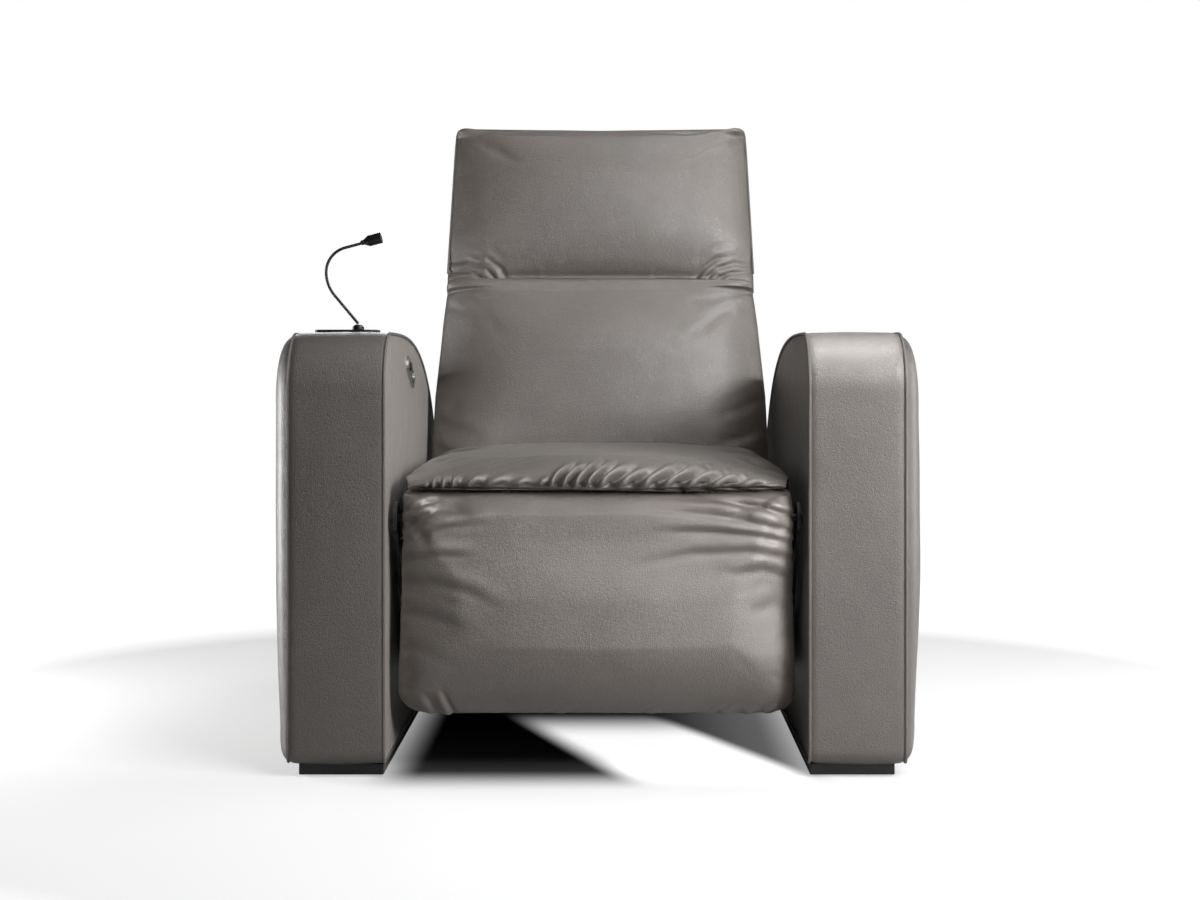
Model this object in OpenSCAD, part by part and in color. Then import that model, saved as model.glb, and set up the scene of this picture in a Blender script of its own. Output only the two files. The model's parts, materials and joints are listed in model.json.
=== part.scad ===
// Cinema recliner seat: two upholstered arms on plinths, a seat between them, a hinged legrest,
// a reclining back with a tilting headrest, two linear actuators and a reading lamp.
// Millimetres. Z is up, the seat faces -Y, and the origin is on the floor under the middle.

/* [Arms] */
// Clear width between the two arms
gap_w = 620; // [600:1:660]
// Width of an arm's front band
arm_w = 144; // [130:1:170]
// Depth of an arm, front to rear
arm_d = 930; // [915:1:980]
// Height of an arm above the floor
arm_h = 655; // [640:1:690]
// How far the outer side panel bulges
arm_dome = 45; // [20:1:60]
// Radius of the arm's top front corner
arm_front_r = 85; // [60:1:95]
// Radius of the arm's bottom corners
arm_foot_r = 17; // [14:1:24]
// Where the arm's top starts to fall, from the front
arm_flat = 100; // [96:1:130]
// Height at which the arm's rear becomes upright
arm_rear_h = 255; // [220:1:300]
// Thickness of the padded band
band_t = 12; // [10:1:13]
// Thickness of the padded inner panel
inner_t = 16; // [14:1:20]
// Crown of the inner panel
inner_crown = 5; // [2:1:7]
// Diameter of the piping on the arm's edges
piping_d = 5; // [4:0.5:6]
// Thickness of the boards in the arm's frame
arm_board_t = 15; // [12:1:18]
// Height of the plinth and its glides
plinth_h = 20; // [16:1:26]
// Height of a glide
glide_h = 3; // [2:0.5:5]

/* [Seat] */
// Width of the seat cushion
seat_w = 600; // [580:1:608]
// Height of the top of the seat cushion
seat_h = 468; // [458:1:480]
// Thickness of the seat cushion, with its crown
seat_thick = 123; // [118:1:130]
// Rear end of the seat cushion, from the arm's front
seat_rear = 572; // [550:1:574]
// Thickness of the seat board
seat_board_t = 10; // [8:1:11]
// Size of the seat frame's square tubes
seat_tube = 20; // [16:1:20]

/* [Legrest] */
// Width of the legrest
leg_w = 584; // [560:1:588]
// Length of the legrest below its hinge
leg_drop = 292; // [278:1:308]
// Setback of the legrest's face behind the arm's front
leg_face = 15; // [12:1:20]
// Radius of the legrest's rounded top, which is centred on its hinge
leg_nose_r = 45; // [42:1:46]
// Depth of the legrest's hinge below the seat's top
leg_pivot_drop = 90; // [89:1:94]
// Distance of the legrest's back plane behind its hinge
leg_back = 35; // [32:1:38]
// Thickness of the legrest board
leg_board_t = 12; // [10:1:14]
// How far the legrest swings up
leg_swing = 80; // [60:1:80]

/* [Back] */
// Lean of the back at rest
back_lean = 15; // [12:1:17]
// Depth of the back's hinge below the seat's top
back_pivot_drop = 73; // [68:1:78]
// Distance of the back's hinge from the arm's front
back_pivot_d = 660; // [658:1:664]
// Distance of the back's face in front of its hinge
back_face = 82; // [80:1:83]
// Width of the back at its lower end
back_w = 577; // [560:1:580]
// Width of the back at the crease under the headrest
back_top_w = 548; // [530:1:560]
// Distance from the hinge up to the crease
back_len = 359; // [350:1:365]
// Size of the back frame's square tubes
back_tube = 20; // [16:1:22]
// Depth of the rear cover
shell_d = 26; // [22:1:32]
// Wall of the rear covers
shell_wall = 3; // [2.5:0.5:4]
// How far the back reclines
recline = 45; // [30:1:46]

/* [Headrest] */
// Width of the headrest at its top
head_w = 527; // [515:1:535]
// Height of the headrest above its hinge
head_len = 287; // [270:1:300]
// Radius of the headrest's rounded lower edge
head_nose_r = 30; // [28:1:31]
// Thickness of the headrest behind its hinge
head_back = 34; // [30:1:36]
// How far the headrest's face lies behind the back's face
head_setback = 15; // [14:1:17]
// How far the hinge lies above the crease
head_rise = 14; // [13.5:0.5:17]

/* [Mechanism] */
// Thickness of the side plates
plate_t = 6; // [4:1:7]
// Gap between a side plate and the arm
plate_gap = 7; // [6:0.5:8]
// Radius of the hinge pins
pin_r = 6; // [5:0.5:7]
// Size of the cross rails
rail_size = 40; // [35:1:45]
// Depth of the cross rails' underside below the back's actuator
rail_drop = 125; // [115:1:140]
// Drop of the legrest actuator's pin below the legrest hinge
leg_lever = 85; // [83:1:87]
// Drop of the back actuator's pin below the back hinge
back_lever = 150; // [145:1:155]
// Radius of an actuator's rod
rod_r = 8; // [7:0.5:9]
// Radius of an actuator's outer tube
tube_r = 13; // [12:0.5:15]
// Radius of an actuator's cross pin
cross_r = 5; // [4:0.5:6]
// Radial play between a hinge pin and its bore
run_play = 0.05; // [0.02:0.01:0.09]

/* [Lamp and controls] */
// Width of the console plate on the left arm
console_w = 94; // [80:1:100]
// Depth of the console plate
console_d = 70; // [60:1:80]
// Thickness of the console plate
console_t = 5; // [4:0.5:6]
// Diameter of the lamp's bent neck
neck_d = 5; // [4:0.5:6]
// Length of the lamp head
lamp_len = 30; // [26:1:36]
// Diameter of the lamp head
lamp_d = 17; // [14:1:20]
// Length of the control's bezel
bezel_len = 104; // [96:1:120]
// Height of the control's bezel
bezel_h = 26; // [24:1:30]
// Diameter of a control button
button_d = 14; // [12:1:16]
// Travel of a control button
button_travel = 1.2; // [0.8:0.1:1.5]

/* [Hidden] */
leather = "#736c67";
leather_dark = "#5c5753";
black = "#1c1c1e";
steel = "#8b8f94";
zinc = "#b4b7ba";
birch = "#c9ad82";
foam_cloth = "#33322f";
round_fn = 48;
// Overrun of every cut
cut = 1;
// Gap between soft forms on different bodies
soft_gap = 2;
// Gap between flat pieces that pass each other
slip = 1;

// Heights that follow the seat's top
seat_base_h = seat_h - seat_thick;
leg_pivot_h = seat_h - leg_pivot_drop;
back_pivot_h = seat_h - back_pivot_drop;
rail_h = back_pivot_h - back_lever - rail_drop;

arm_in = gap_w / 2;
arm_out = arm_in + arm_w;
// Setback of the band's edges behind the faces of the arm
band_in = 4;
frame_in = arm_in + inner_t;
frame_out = arm_out - band_in;
// Clearance of the boards within the band
board_gap = 0.3;

// Points of the arc about a centre, from one angle to another
function arc(centre, r, from, to, steps) =
    [for (i = [0 : steps]) let (a = from + (to - from) * i / steps)
        [centre.x + r * cos(a), centre.y + r * sin(a)]];

// A closed path moved inwards along its own normals
function inset(path, d) = [for (i = [0 : len(path) - 1])
    let (n = len(path), t = path[(i + 1) % n] - path[(i + n - 1) % n], l = norm(t))
        path[i] + d / l * [-t.y, t.x]];

// Rear curve of the arm's top: a superellipse from the upright rear to the flat top
top_run = arm_d - arm_flat;
top_rise = arm_h - arm_rear_h;
top_steps = 14;
top_power_share = 3;
function arm_top() = [for (i = [0 : top_steps]) let (a = 90 * i / top_steps, c = cos(a))
    [arm_flat + top_run * c, arm_rear_h + top_rise * sqrt(1 - pow(c, top_power_share))]];

// Side outline of an arm, as distance from its front and height
function arm_outline() = concat(
    arc([arm_foot_r, plinth_h + arm_foot_r], arm_foot_r, 180, 270, 4),
    arc([arm_d - arm_foot_r, plinth_h + arm_foot_r], arm_foot_r, 270, 360, 4),
    arm_top(),
    arc([arm_front_r, arm_h - arm_front_r], arm_front_r, 90, 180, 7));

module from_front() { translate([0, -arm_d / 2, 0]) children(); }

// Lays a side outline upright and gives it a width along X
module side_extrude(x, w) {
    translate([x, 0, 0]) rotate([90, 0, 90]) linear_extrude(w) children();
}

// One side is drawn on +X, and the left one is its mirror image
module on_side(left) { if (left) mirror([1, 0, 0]) children(); else children(); }

module box(corner, size) { translate(corner) cube(size); }

// Closed skin over rings of equal length, each end closed by a fan about its middle. The rings run
// anticlockwise seen from the end of the stack, and flip turns a stack that is listed backwards.
module skin(list, flip = false) {
    m = len(list);
    rings = flip ? [for (k = [m - 1 : -1 : 0]) list[k]] : list;
    n = len(rings[0]);
    function middle(ring) = [for (k = [0 : 2]) [for (p = ring) p[k]] * [for (p = ring) 1] / n];
    points = concat([for (ring = rings) each ring], [middle(rings[0]), middle(rings[m - 1])]);
    polyhedron(points, concat(
        [for (k = [0 : m - 2], i = [0 : n - 1]) let (j = (i + 1) % n) [k * n + i, (k + 1) * n + j,
            k * n + j]],
        [for (k = [0 : m - 2], i = [0 : n - 1]) let (j = (i + 1) % n)
            [k * n + i, (k + 1) * n + i, (k + 1) * n + j]],
        [for (i = [0 : n - 1]) [m * n, i, (i + 1) % n]],
        [for (i = [0 : n - 1]) [m * n + 1, (m - 1) * n + (i + 1) % n, (m - 1) * n + i]]));
}

// Fastening of the cross rails: a flange on each arm's inner board, held by bolts
flange_w = 84;
flange_h = 64;
flange_t = 6;
bolt_r = 4;
bolt_head_r = 7;
bolt_head_t = 5;
bolt_grip = 12;
bolt_play = 0.4;
bolt_edge = 12;
// Middles of the front and rear cross rails, from the arm's front
rail_front_d = 360;
rail_rear_d = 660;
rail_places = [rail_front_d, rail_rear_d];
rail_mid_h = rail_h + rail_size / 2;
flange_in = frame_in - flange_t;
function bolt_spots(d) = [for (s = [-1, 1], q = [-1, 1])
    [d + s * (flange_w / 2 - bolt_edge), rail_mid_h + q * (flange_h / 2 - bolt_edge)]];

// Places of the control on the left arm's inner face, the second below the arm's top
control_d = 358;
control_drop = 61;
control_h = arm_h - control_drop;
control_tilt = -20;
bezel_t = 3;
box_len = 84;
box_h = 18;
box_deep = 26;
box_back = 1;
pocket_play = 0.5;
module at_control(x) {
    translate([-x, control_d, control_h]) rotate([control_tilt, 0, 0]) children();
}
module control_pocket() {
    at_control(arm_in + inner_t + arm_board_t + cut)
        translate([0, -box_len / 2 - pocket_play, -box_h / 2 - pocket_play])
            cube([inner_t + arm_board_t + cut + cut, box_len + pocket_play + pocket_play,
                box_h + pocket_play + pocket_play]);
}

// Battens between the two boards of an arm's frame: place along the depth and height, as corners
batten = 32;
batten_edge = 20;
batten_d = [batten_edge + band_t, arm_d / 2 - batten / 2, arm_d - band_t - batten_edge - batten];
module arm_frame(left) {
    color(birch) from_front() {
        difference() {
            on_side(left) for (x = [frame_in, frame_out - arm_board_t])
                side_extrude(x, arm_board_t) polygon(inset(arm_outline(), band_t + board_gap));
            on_side(left) rail_bolt_holes();
            if (left) control_pocket();
        }
        on_side(left) {
            for (d = batten_d)
                box([frame_in + arm_board_t, d, plinth_h + band_t + board_gap],
                    [frame_out - frame_in - 2 * arm_board_t, batten, batten]);
            box([frame_in + arm_board_t, batten_edge + band_t, arm_rear_h],
                [frame_out - frame_in - 2 * arm_board_t, batten, batten]);
            box([frame_in + arm_board_t, arm_d - band_t - batten_edge - batten, arm_rear_h - batten],
                [frame_out - frame_in - 2 * arm_board_t, batten, batten]);
            box([frame_in + arm_board_t, arm_flat, arm_h - band_t - board_gap - batten],
                [frame_out - frame_in - 2 * arm_board_t, batten, batten]);
        }
    }
}

module rail_bolt_holes() {
    for (d = rail_places, s = bolt_spots(d))
        translate([frame_in - cut, s[0], s[1]]) rotate([0, 90, 0])
            cylinder(r = bolt_r + bolt_play, h = arm_board_t + cut + cut, $fn = round_fn);
}

module arm_band(left) {
    color(leather) from_front() on_side(left) difference() {
        side_extrude(arm_in + band_in, frame_out - arm_in - band_in) polygon(arm_outline());
        side_extrude(arm_in + band_in - cut, frame_out - arm_in - band_in + cut + cut)
            polygon(inset(arm_outline(), band_t));
    }
}

// Rings of a padded panel: the outline drawn in towards its middle while it rises
panel_mid = [arm_d / 2, arm_h / 2];
inner_power_share = 5;
outer_power_share = 9;
crown_shares = [1, 0.985, 0.96, 0.92, 0.86, 0.78, 0.66, 0.45, 0.2];
function crown_ring(outline, x, rise, power_share, share) = [for (p = outline)
    let (q = panel_mid + share * (p - panel_mid))
        [x + rise * (1 - pow(share, power_share)), q.x, q.y]];

module arm_inner_panel(left) {
    outline = inset(arm_outline(), band_t + board_gap);
    edge = arm_in + inner_crown;
    color(leather) from_front() difference() {
        on_side(left) difference() {
            skin(concat([[for (p = outline) [frame_in, p.x, p.y]]],
                [for (s = crown_shares)
                    crown_ring(outline, edge, -inner_crown, inner_power_share, s)]), true);
            for (d = rail_places)
                box([arm_in - cut, d - flange_w / 2 - slip, rail_mid_h - flange_h / 2 - slip],
                    [inner_t + cut + cut, flange_w + 2 * slip, flange_h + 2 * slip]);
        }
        if (left) control_pocket();
    }
}

module arm_outer_panel(left) {
    outline = inset(arm_outline(), piping_d / 2 + piping_gap);
    color(leather) from_front() on_side(left)
        skin(concat([[for (p = outline) [frame_out, p.x, p.y]]],
            [for (s = crown_shares) crown_ring(outline, arm_out, arm_dome, outer_power_share, s)]));
}

// Piping: a round cord swept along the outline, clear of the panels that it trims
piping_sides = 6;
piping_gap = 0.3;
function piping_ring(path, i, x) =
    let (n = len(path), t = path[(i + 1) % n] - path[(i + n - 1) % n], out = [t.y, -t.x] / norm(t))
        [for (k = [0 : piping_sides - 1]) let (a = 360 * k / piping_sides, r = piping_d / 2)
            [x + r * cos(a), path[i].x + r * sin(a) * out.x, path[i].y + r * sin(a) * out.y]];
module piping(x) {
    path = arm_outline();
    n = len(path);
    m = piping_sides;
    points = [for (i = [0 : n - 1]) each piping_ring(path, i, x)];
    polyhedron(points, [for (i = [0 : n - 1], k = [0 : m - 1], h = [0, 1])
        let (a = i * m + k, b = i * m + (k + 1) % m, c = ((i + 1) % n) * m + k, d = ((i +
            1) % n) * m + (k + 1) % m)
            h == 0 ? [a, b, d] : [a, d, c]]);
}
module arm_piping(left) {
    color(leather_dark) from_front() on_side(left) {
        piping(arm_in + band_in - piping_d / 2 - piping_gap);
        piping(frame_out + piping_d / 2 + piping_gap);
    }
}

// Plinth: flush with the arm's inner face, set in elsewhere
plinth_in = 4;
plinth_out = 15;
plinth_front = 14;
plinth_rear = 24;
module plinth(left) {
    color(black) from_front() on_side(left)
        box([arm_in + plinth_in, plinth_front, glide_h],
            [arm_w - plinth_in - plinth_out, arm_d - plinth_front - plinth_rear, plinth_h - glide_h]);
}

glide_r = 18;
glide_edge = 30;
glide_x = arm_in + plinth_in + (arm_w - plinth_in - plinth_out) / 2;
glide_y = arm_d / 2 - plinth_rear - glide_edge;
module floor_glides() {
    color(black) for (x = [-glide_x, glide_x], y = [-glide_y, glide_y])
        translate([x, y, 0]) cylinder(r = glide_r, h = glide_h, $fn = round_fn);
}

// Cross rails: square tube with a flange welded on each end
rail_wall = 3;
module cross_rail(d) {
    color(steel) from_front() difference() {
        union() {
            box([-flange_in, d - rail_size / 2, rail_h], [2 * flange_in, rail_size, rail_size]);
            for (side = [0, 1]) mirror([side, 0, 0])
                box([flange_in, d - flange_w / 2, rail_mid_h - flange_h / 2], [flange_t, flange_w,
                    flange_h]);
        }
        box([-frame_in - cut, d - rail_size / 2 + rail_wall, rail_h + rail_wall],
            [2 * (frame_in + cut), rail_size - 2 * rail_wall, rail_size - 2 * rail_wall]);
        for (side = [0, 1], s = bolt_spots(d)) mirror([side, 0, 0])
            translate([flange_in - cut, s[0], s[1]]) rotate([0, 90, 0])
                cylinder(r = bolt_r + bolt_play, h = flange_t + cut + cut, $fn = round_fn);
    }
}

module rail_bolts() {
    color(zinc) from_front() for (side = [0, 1], d = rail_places, s = bolt_spots(d))
        mirror([side, 0, 0]) translate([flange_in, s[0], s[1]]) rotate([0, 90, 0]) {
            translate([0, 0, -bolt_head_t]) cylinder(r = bolt_head_r, h = bolt_head_t, $fn = 6);
            cylinder(r = bolt_r, h = flange_t + bolt_grip, $fn = round_fn);
        }
}

// Side plates stand on the cross rails and carry both hinges
leg_d = leg_face + leg_nose_r;
plate_in = arm_in - plate_gap - plate_t;
plate_low = rail_h + rail_size;
plate_clear = 4;
plate_top = seat_base_h - plate_clear;
leg_ear_r = 24;
back_ear_r = 30;
plate_front = 150;
plate_rear = 715;
neck_rise = 70;
plate_window_r = 45;
module side_plate(left) {
    window_h = (plate_low + plate_top) / 2;
    window_from = plate_front + plate_window_r + neck_rise;
    window_to = back_pivot_d - plate_window_r;
    color(steel) from_front() on_side(left) side_extrude(plate_in, plate_t) difference() {
        union() {
            polygon([[plate_front, plate_low], [plate_rear, plate_low], [plate_rear, plate_top],
                [back_pivot_d + back_ear_r, back_pivot_h], [back_pivot_d - back_ear_r, back_pivot_h],
                [back_pivot_d - 2 * back_ear_r, plate_top], [leg_d + leg_ear_r, plate_top],
                [leg_d + leg_ear_r, leg_pivot_h], [leg_d - leg_ear_r, leg_pivot_h],
                [plate_front, plate_low + neck_rise]]);
            translate([leg_d, leg_pivot_h]) circle(r = leg_ear_r, $fn = round_fn);
            translate([back_pivot_d, back_pivot_h]) circle(r = back_ear_r, $fn = round_fn);
        }
        translate([leg_d, leg_pivot_h]) circle(r = pin_r + run_play, $fn = round_fn);
        translate([back_pivot_d, back_pivot_h]) circle(r = pin_r + run_play, $fn = round_fn);
        for (d = [window_from, (window_from + window_to) / 2, window_to])
            translate([d, window_h]) circle(r = plate_window_r, $fn = round_fn);
    }
}

// Seat frame: square tubes welded between the side plates, under the seat board
frame_top = seat_base_h - seat_board_t;
frame_front = 170;
frame_mid = 430;
frame_rear = 540;
module seat_frame() {
    color(steel) from_front() {
        for (side = [0, 1]) mirror([side, 0, 0])
            box([plate_in - seat_tube, frame_front, frame_top - seat_tube],
                [seat_tube, frame_rear + seat_tube - frame_front, seat_tube]);
        for (d = [frame_front, frame_mid, frame_rear])
            box([seat_tube - plate_in, d, frame_top - seat_tube],
                [2 * (plate_in - seat_tube), seat_tube, seat_tube]);
    }
}

board_front = 130;
board_side = 290;
board_holes = 5;
board_hole_r = 18;
module seat_board() {
    depth = seat_rear - board_front;
    color(birch) from_front() difference() {
        box([-board_side, board_front, frame_top], [2 * board_side, depth, seat_board_t]);
        for (i = [1 : board_holes], j = [1 : 2])
            translate([board_side * (2 * i / (board_holes + 1) - 1), board_front + depth * j / 3,
                frame_top - cut])
                cylinder(r = board_hole_r, h = seat_board_t + cut + cut, $fn = round_fn);
    }
}

// Cushions: rings whose front side is crowned and rounded at its ends, and whose back is flat.
// In a ring the first value is the place across the width and the second the depth, front low.
ring_front = 28;
ring_back = 8;
edge_share = 0.55;
round_share = 0.8;
function across(w, q) = w * (edge_share * sin(180 * q - 90) + (1 - edge_share) * (2 * q - 1));
function round_off(u, w, r) = let (e = max(0, (abs(u) - w + r) / r)) r * (1 - sqrt(max(0, 1 - e * e)));
function cushion_ring(s, w, face, back, r_max, crown, n = ring_front, fold = function (u, s) 0) =
    let (r = min(r_max, round_share * (back - face)))
    concat([for (i = [0 : n]) let (u = across(w, i / n))
        [u, min(back - slip, face + round_off(u, w, r) - crown * (1 - pow(u / w, 2)) + fold(u, s)), s]],
    [for (i = [0 : ring_back]) let (u = -across(w, i / ring_back)) [u, back - round_off(u, w, r / 8),
        s]]);
function lay_flat(ring) = [for (p = ring) [p.x, p.z, -p.y]];

// Seat cushion: crowned, with a gathered lip that hangs over the legrest's nose
seat_lip = 10;
lip_h = leg_pivot_h + leg_nose_r + soft_gap;
lip_round = 78;
seat_crown = 16;
seat_edge_r = 38;
seat_under = leg_d + leg_nose_r + 3 * soft_gap;
ruche_n = 60;
ruche_pitch = 46;
ruche_deep = 3.2;
ruche_slant_share = 0.5;
ruche_reach_share = 1.15;
function lip_drop(d) = let (e = max(0, 1 - (d - seat_lip) / lip_round))
    (seat_h - seat_crown - lip_h - soft_gap) * (1 - sqrt(max(0, 1 - e * e)));
function ruche(u, d) = let (reach = lip_round + seat_lip, f = max(0, sin(180 * min(1,
    d / reach / ruche_reach_share))))
    ruche_deep * f * sin(360 * (u + ruche_slant_share * d) / ruche_pitch);
lip_rings = 11;
lip_power_share = 1.35;
// Places of the rings behind the lip
seat_place_shares = [0.02, 0.3, 0.6, 0.85, 1];
module seat_cushion() {
    lip_to = seat_under;
    depths = concat([for (i = [0 : lip_rings]) seat_lip + (lip_to - seat_lip) * pow(i / lip_rings,
        lip_power_share)],
        [for (q = seat_place_shares) lip_to + (seat_rear - lip_to) * q]);
    color(leather) from_front() skin([for (i = [0 : len(depths) - 1]) let (d = depths[i])
        lay_flat(cushion_ring(d, seat_w / 2 - seat_draw(d), lip_drop(d) + seat_crown - seat_h,
            i > lip_rings ? -seat_base_h : -lip_h, seat_edge_r, seat_crown * crown_at(d), ruche_n,
            function (u, s) ruche(u, s)))]);
}
crown_front_share = 0.35;
function crown_at(d) = crown_front_share + (1 - crown_front_share) * sin(180 * min(1,
    (d - seat_lip) / (seat_rear - seat_lip)));
seat_draw_in = 7;
function seat_draw(d) = seat_draw_in * pow(abs(2 * (d - seat_lip) / (seat_rear - seat_lip) - 1), 3);

// Legrest: everything is placed about its hinge, with Y to the rear and Z up
module at_leg() { from_front() translate([0, leg_d, leg_pivot_h]) children(); }
leg_side_r = 26;
leg_corner_r = 37;
leg_board_back = leg_back - slip;
leg_board_face = leg_board_back - leg_board_t;
leg_pocket_r = 25;
leg_bracket_t = 5;
leg_bracket_x = leg_w / 2 - leg_bracket_t - 2 * slip;
leg_steps = 8;
leg_arc_steps = 6;
leg_swell = 6;
leg_draw_in = 3;
leg_nose_to = 82;
module legrest_cushion() {
    foot = [for (i = [0 : leg_arc_steps]) let (a = 90 * i / leg_arc_steps, c = 1 - sin(a))
        cushion_ring(leg_corner_r * (1 - cos(a)) - leg_drop, leg_w / 2 - slip - leg_corner_r * c,
            leg_side_r * c - leg_nose_r, leg_board_face, leg_side_r * (1 - c / 2), 0)];
    shin = [for (i = [1 : leg_steps]) let (q = i / (leg_steps + 1))
        cushion_ring((leg_corner_r - leg_drop) * (1 - q), leg_w / 2 - slip - leg_draw_in * sin(180 * q),
            leg_swell - leg_nose_r - leg_swell * sin(180 * q), leg_board_face, leg_side_r,
                leg_swell * sin(180 * q))];
    nose = [for (i = [0 : leg_arc_steps]) let (a = leg_nose_to * i / leg_arc_steps,
        y = leg_nose_r * cos(a))
        cushion_ring(leg_nose_r * sin(a), leg_w / 2 - slip, leg_swell * cos(a) - y, min(leg_board_face,
            y),
            min(leg_side_r, y), 0)];
    color(leather) at_leg() difference() {
        skin(concat(foot, shin, nose));
        for (side = [0, 1]) mirror([side, 0, 0]) {
            translate([leg_bracket_x - slip, 0, 0]) rotate([0, 90, 0])
                cylinder(r = leg_pocket_r, h = leg_nose_r, $fn = round_fn);
            box([leg_bracket_x - slip, -leg_bracket_r, -leg_bracket_r - leg_foot_h - slip],
                [leg_nose_r, leg_nose_r, leg_bracket_r + leg_foot_h + slip]);
            box([leg_bracket_x - leg_foot_w - slip, leg_board_face - leg_bracket_t - slip,
                -leg_bracket_r - leg_foot_h - slip], [leg_foot_w + leg_nose_r, leg_nose_r,
                    leg_foot_h + 2 * slip]);
        }
    }
}

// Board of the legrest, behind the foam, with rounded lower corners
leg_board_in = 14;
module leg_outline(inset_by, up) {
    w = leg_w / 2 - inset_by;
    r = leg_corner_r - inset_by / 2;
    low = inset_by - leg_drop;
    polygon(concat(arc([r - w, low + r], r, 180, 270, leg_arc_steps), arc([w - r, low + r], r, 270,
        360, leg_arc_steps),
        [[w, up], [-w, up]]));
}
module legrest_board() {
    color(birch) at_leg() difference() {
        translate([0, leg_board_back, 0]) rotate([90, 0, 0]) linear_extrude(leg_board_t)
            leg_outline(leg_board_in, leg_nose_r - leg_board_in);
        for (side = [0, 1]) mirror([side, 0, 0]) translate([leg_bracket_x - slip, 0, 0]) rotate([0, 90,
            0])
            cylinder(r = leg_pocket_r + slip, h = leg_nose_r, $fn = round_fn);
    }
}

// Cloth lining over the back of the legrest board
lining_t = 1;
module legrest_lining() {
    color(foam_cloth) at_leg() difference() {
        translate([0, leg_back, 0]) rotate([90, 0, 0]) linear_extrude(lining_t)
            leg_outline(leg_board_in / 2, -leg_board_in);
        box([-lever_spread - slip, 0, -leg_lever - leg_board_t], [2 * (lever_spread + slip),
            leg_nose_r, leg_lever]);
    }
}

// Hinge brackets at the ends of the legrest board, with the hole that the pin is pressed into
leg_bracket_r = 18;
leg_foot_h = 60;
leg_foot_w = 40;
module legrest_brackets() {
    color(steel) at_leg() for (side = [0, 1]) mirror([side, 0, 0]) {
        translate([leg_bracket_x, 0, 0]) rotate([90, 0, 90]) linear_extrude(leg_bracket_t) difference() {
            union() {
                circle(r = leg_bracket_r, $fn = round_fn);
                polygon([[-leg_bracket_r, 0], [0, -leg_bracket_r], [leg_board_face,
                    -leg_bracket_r - leg_foot_h],
                    [leg_board_face, 0]]);
            }
            circle(r = pin_r, $fn = round_fn);
        }
        box([leg_bracket_x - leg_foot_w, leg_board_face - leg_bracket_t, -leg_bracket_r - leg_foot_h],
            [leg_foot_w + leg_bracket_t, leg_bracket_t, leg_foot_h]);
    }
}

// Hinge pins: pressed into the moving bracket, running in the side plate
pin_head_r = 9;
pin_head_t = 2.5;
module hinge_pins(from) {
    for (side = [0, 1]) mirror([side, 0, 0]) translate([from, 0, 0]) rotate([0, 90, 0]) {
        cylinder(r = pin_r, h = plate_in + plate_t + slip - from, $fn = round_fn);
        translate([0, 0, plate_in + plate_t + slip - from]) cylinder(r = pin_head_r, h = pin_head_t,
            $fn = round_fn);
    }
}
module legrest_pins() { color(zinc) at_leg() hinge_pins(leg_bracket_x); }

// Slotted levers: an actuator's cross pin moves straight while the lever turns, so the slot lets the
// pin slide along the lever. Half the swing lies on each side of the upright lever.
lever_t = 5;
lever_gap = 12;
lever_spread = lever_gap + lever_t;
lever_half = 17;
lever_end = 12;
// Play of the pin across the slot, as a share of the lever's drop
leg_yoke_share = 0.056;
back_yoke_share = 0.014;
module lever_slot(drop, swing, play) {
    r = cross_r + play;
    far = drop / cos(swing / 2) + slip;
    near = drop - slip;
    for (d = [near, far]) translate([0, -d]) circle(r = r, $fn = round_fn);
    translate([-r, -far]) square([2 * r, far - near]);
}
// The legrest's lever in its upright position turned to rest, welded to a foot on the board
module legrest_lever() {
    far = leg_lever / cos(leg_swing / 2) + cross_r + lever_end;
    root_low = -leg_lever - 2 * cross_r;
    color(steel) at_leg() {
        for (side = [0, 1]) mirror([side, 0, 0]) translate([lever_gap, 0, 0]) rotate([90, 0, 90])
            linear_extrude(lever_t) difference() {
                union() {
                    rotate(leg_swing / 2) translate([-lever_half, -far + lever_half])
                        square([2 * lever_half, far - lever_half - leg_nose_r]);
                    rotate(leg_swing / 2) translate([0, -far + lever_half]) circle(r = lever_half,
                        $fn = round_fn);
                    polygon([[leg_board_back, -leg_board_back / 2], [leg_nose_r + lever_half,
                        -leg_nose_r],
                        [leg_nose_r + lever_half, root_low], [leg_board_back, root_low]]);
                }
                rotate(leg_swing / 2) lever_slot(leg_lever, leg_swing, leg_yoke_share * leg_lever);
                translate([-leg_nose_r, root_low - leg_lever]) square([leg_nose_r + leg_board_back,
                    3 * leg_lever]);
            }
    }
}

// Linear actuator along Y at a height: a gearbox with its motor, a fixed outer tube and a sliding rod.
// dir is 1 where the rod comes out to the rear, and -1 to the front.
tube_play = 0.4;
gear_w = 56;
gear_len = 86;
gear_h = 44;
motor_r = 20;
motor_len = 92;
module actuator_body(gear_from, dir, tube_len) {
    difference() {
        union() {
            box([-gear_w / 2, gear_from, -gear_h / 2], [gear_w, gear_len, gear_h]);
            translate([0, dir > 0 ? gear_from + gear_len : gear_from - tube_len, 0]) rotate([-90, 0, 0])
                cylinder(r = tube_r, h = tube_len, $fn = round_fn);
            translate([gear_w / 2, gear_from + gear_len / 2, 0]) rotate([0, 90, 0])
                cylinder(r = motor_r, h = motor_len, $fn = round_fn);
        }
        translate([0, dir > 0 ? gear_from + wall_gear : gear_from - tube_len - cut, 0]) rotate([-90, 0,
            0])
            cylinder(r = rod_r + tube_play, h = tube_len + gear_len + cut - wall_gear, $fn = round_fn);
    }
}
wall_gear = 12;
eye_r = 12;
eye_w = 10;
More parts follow.
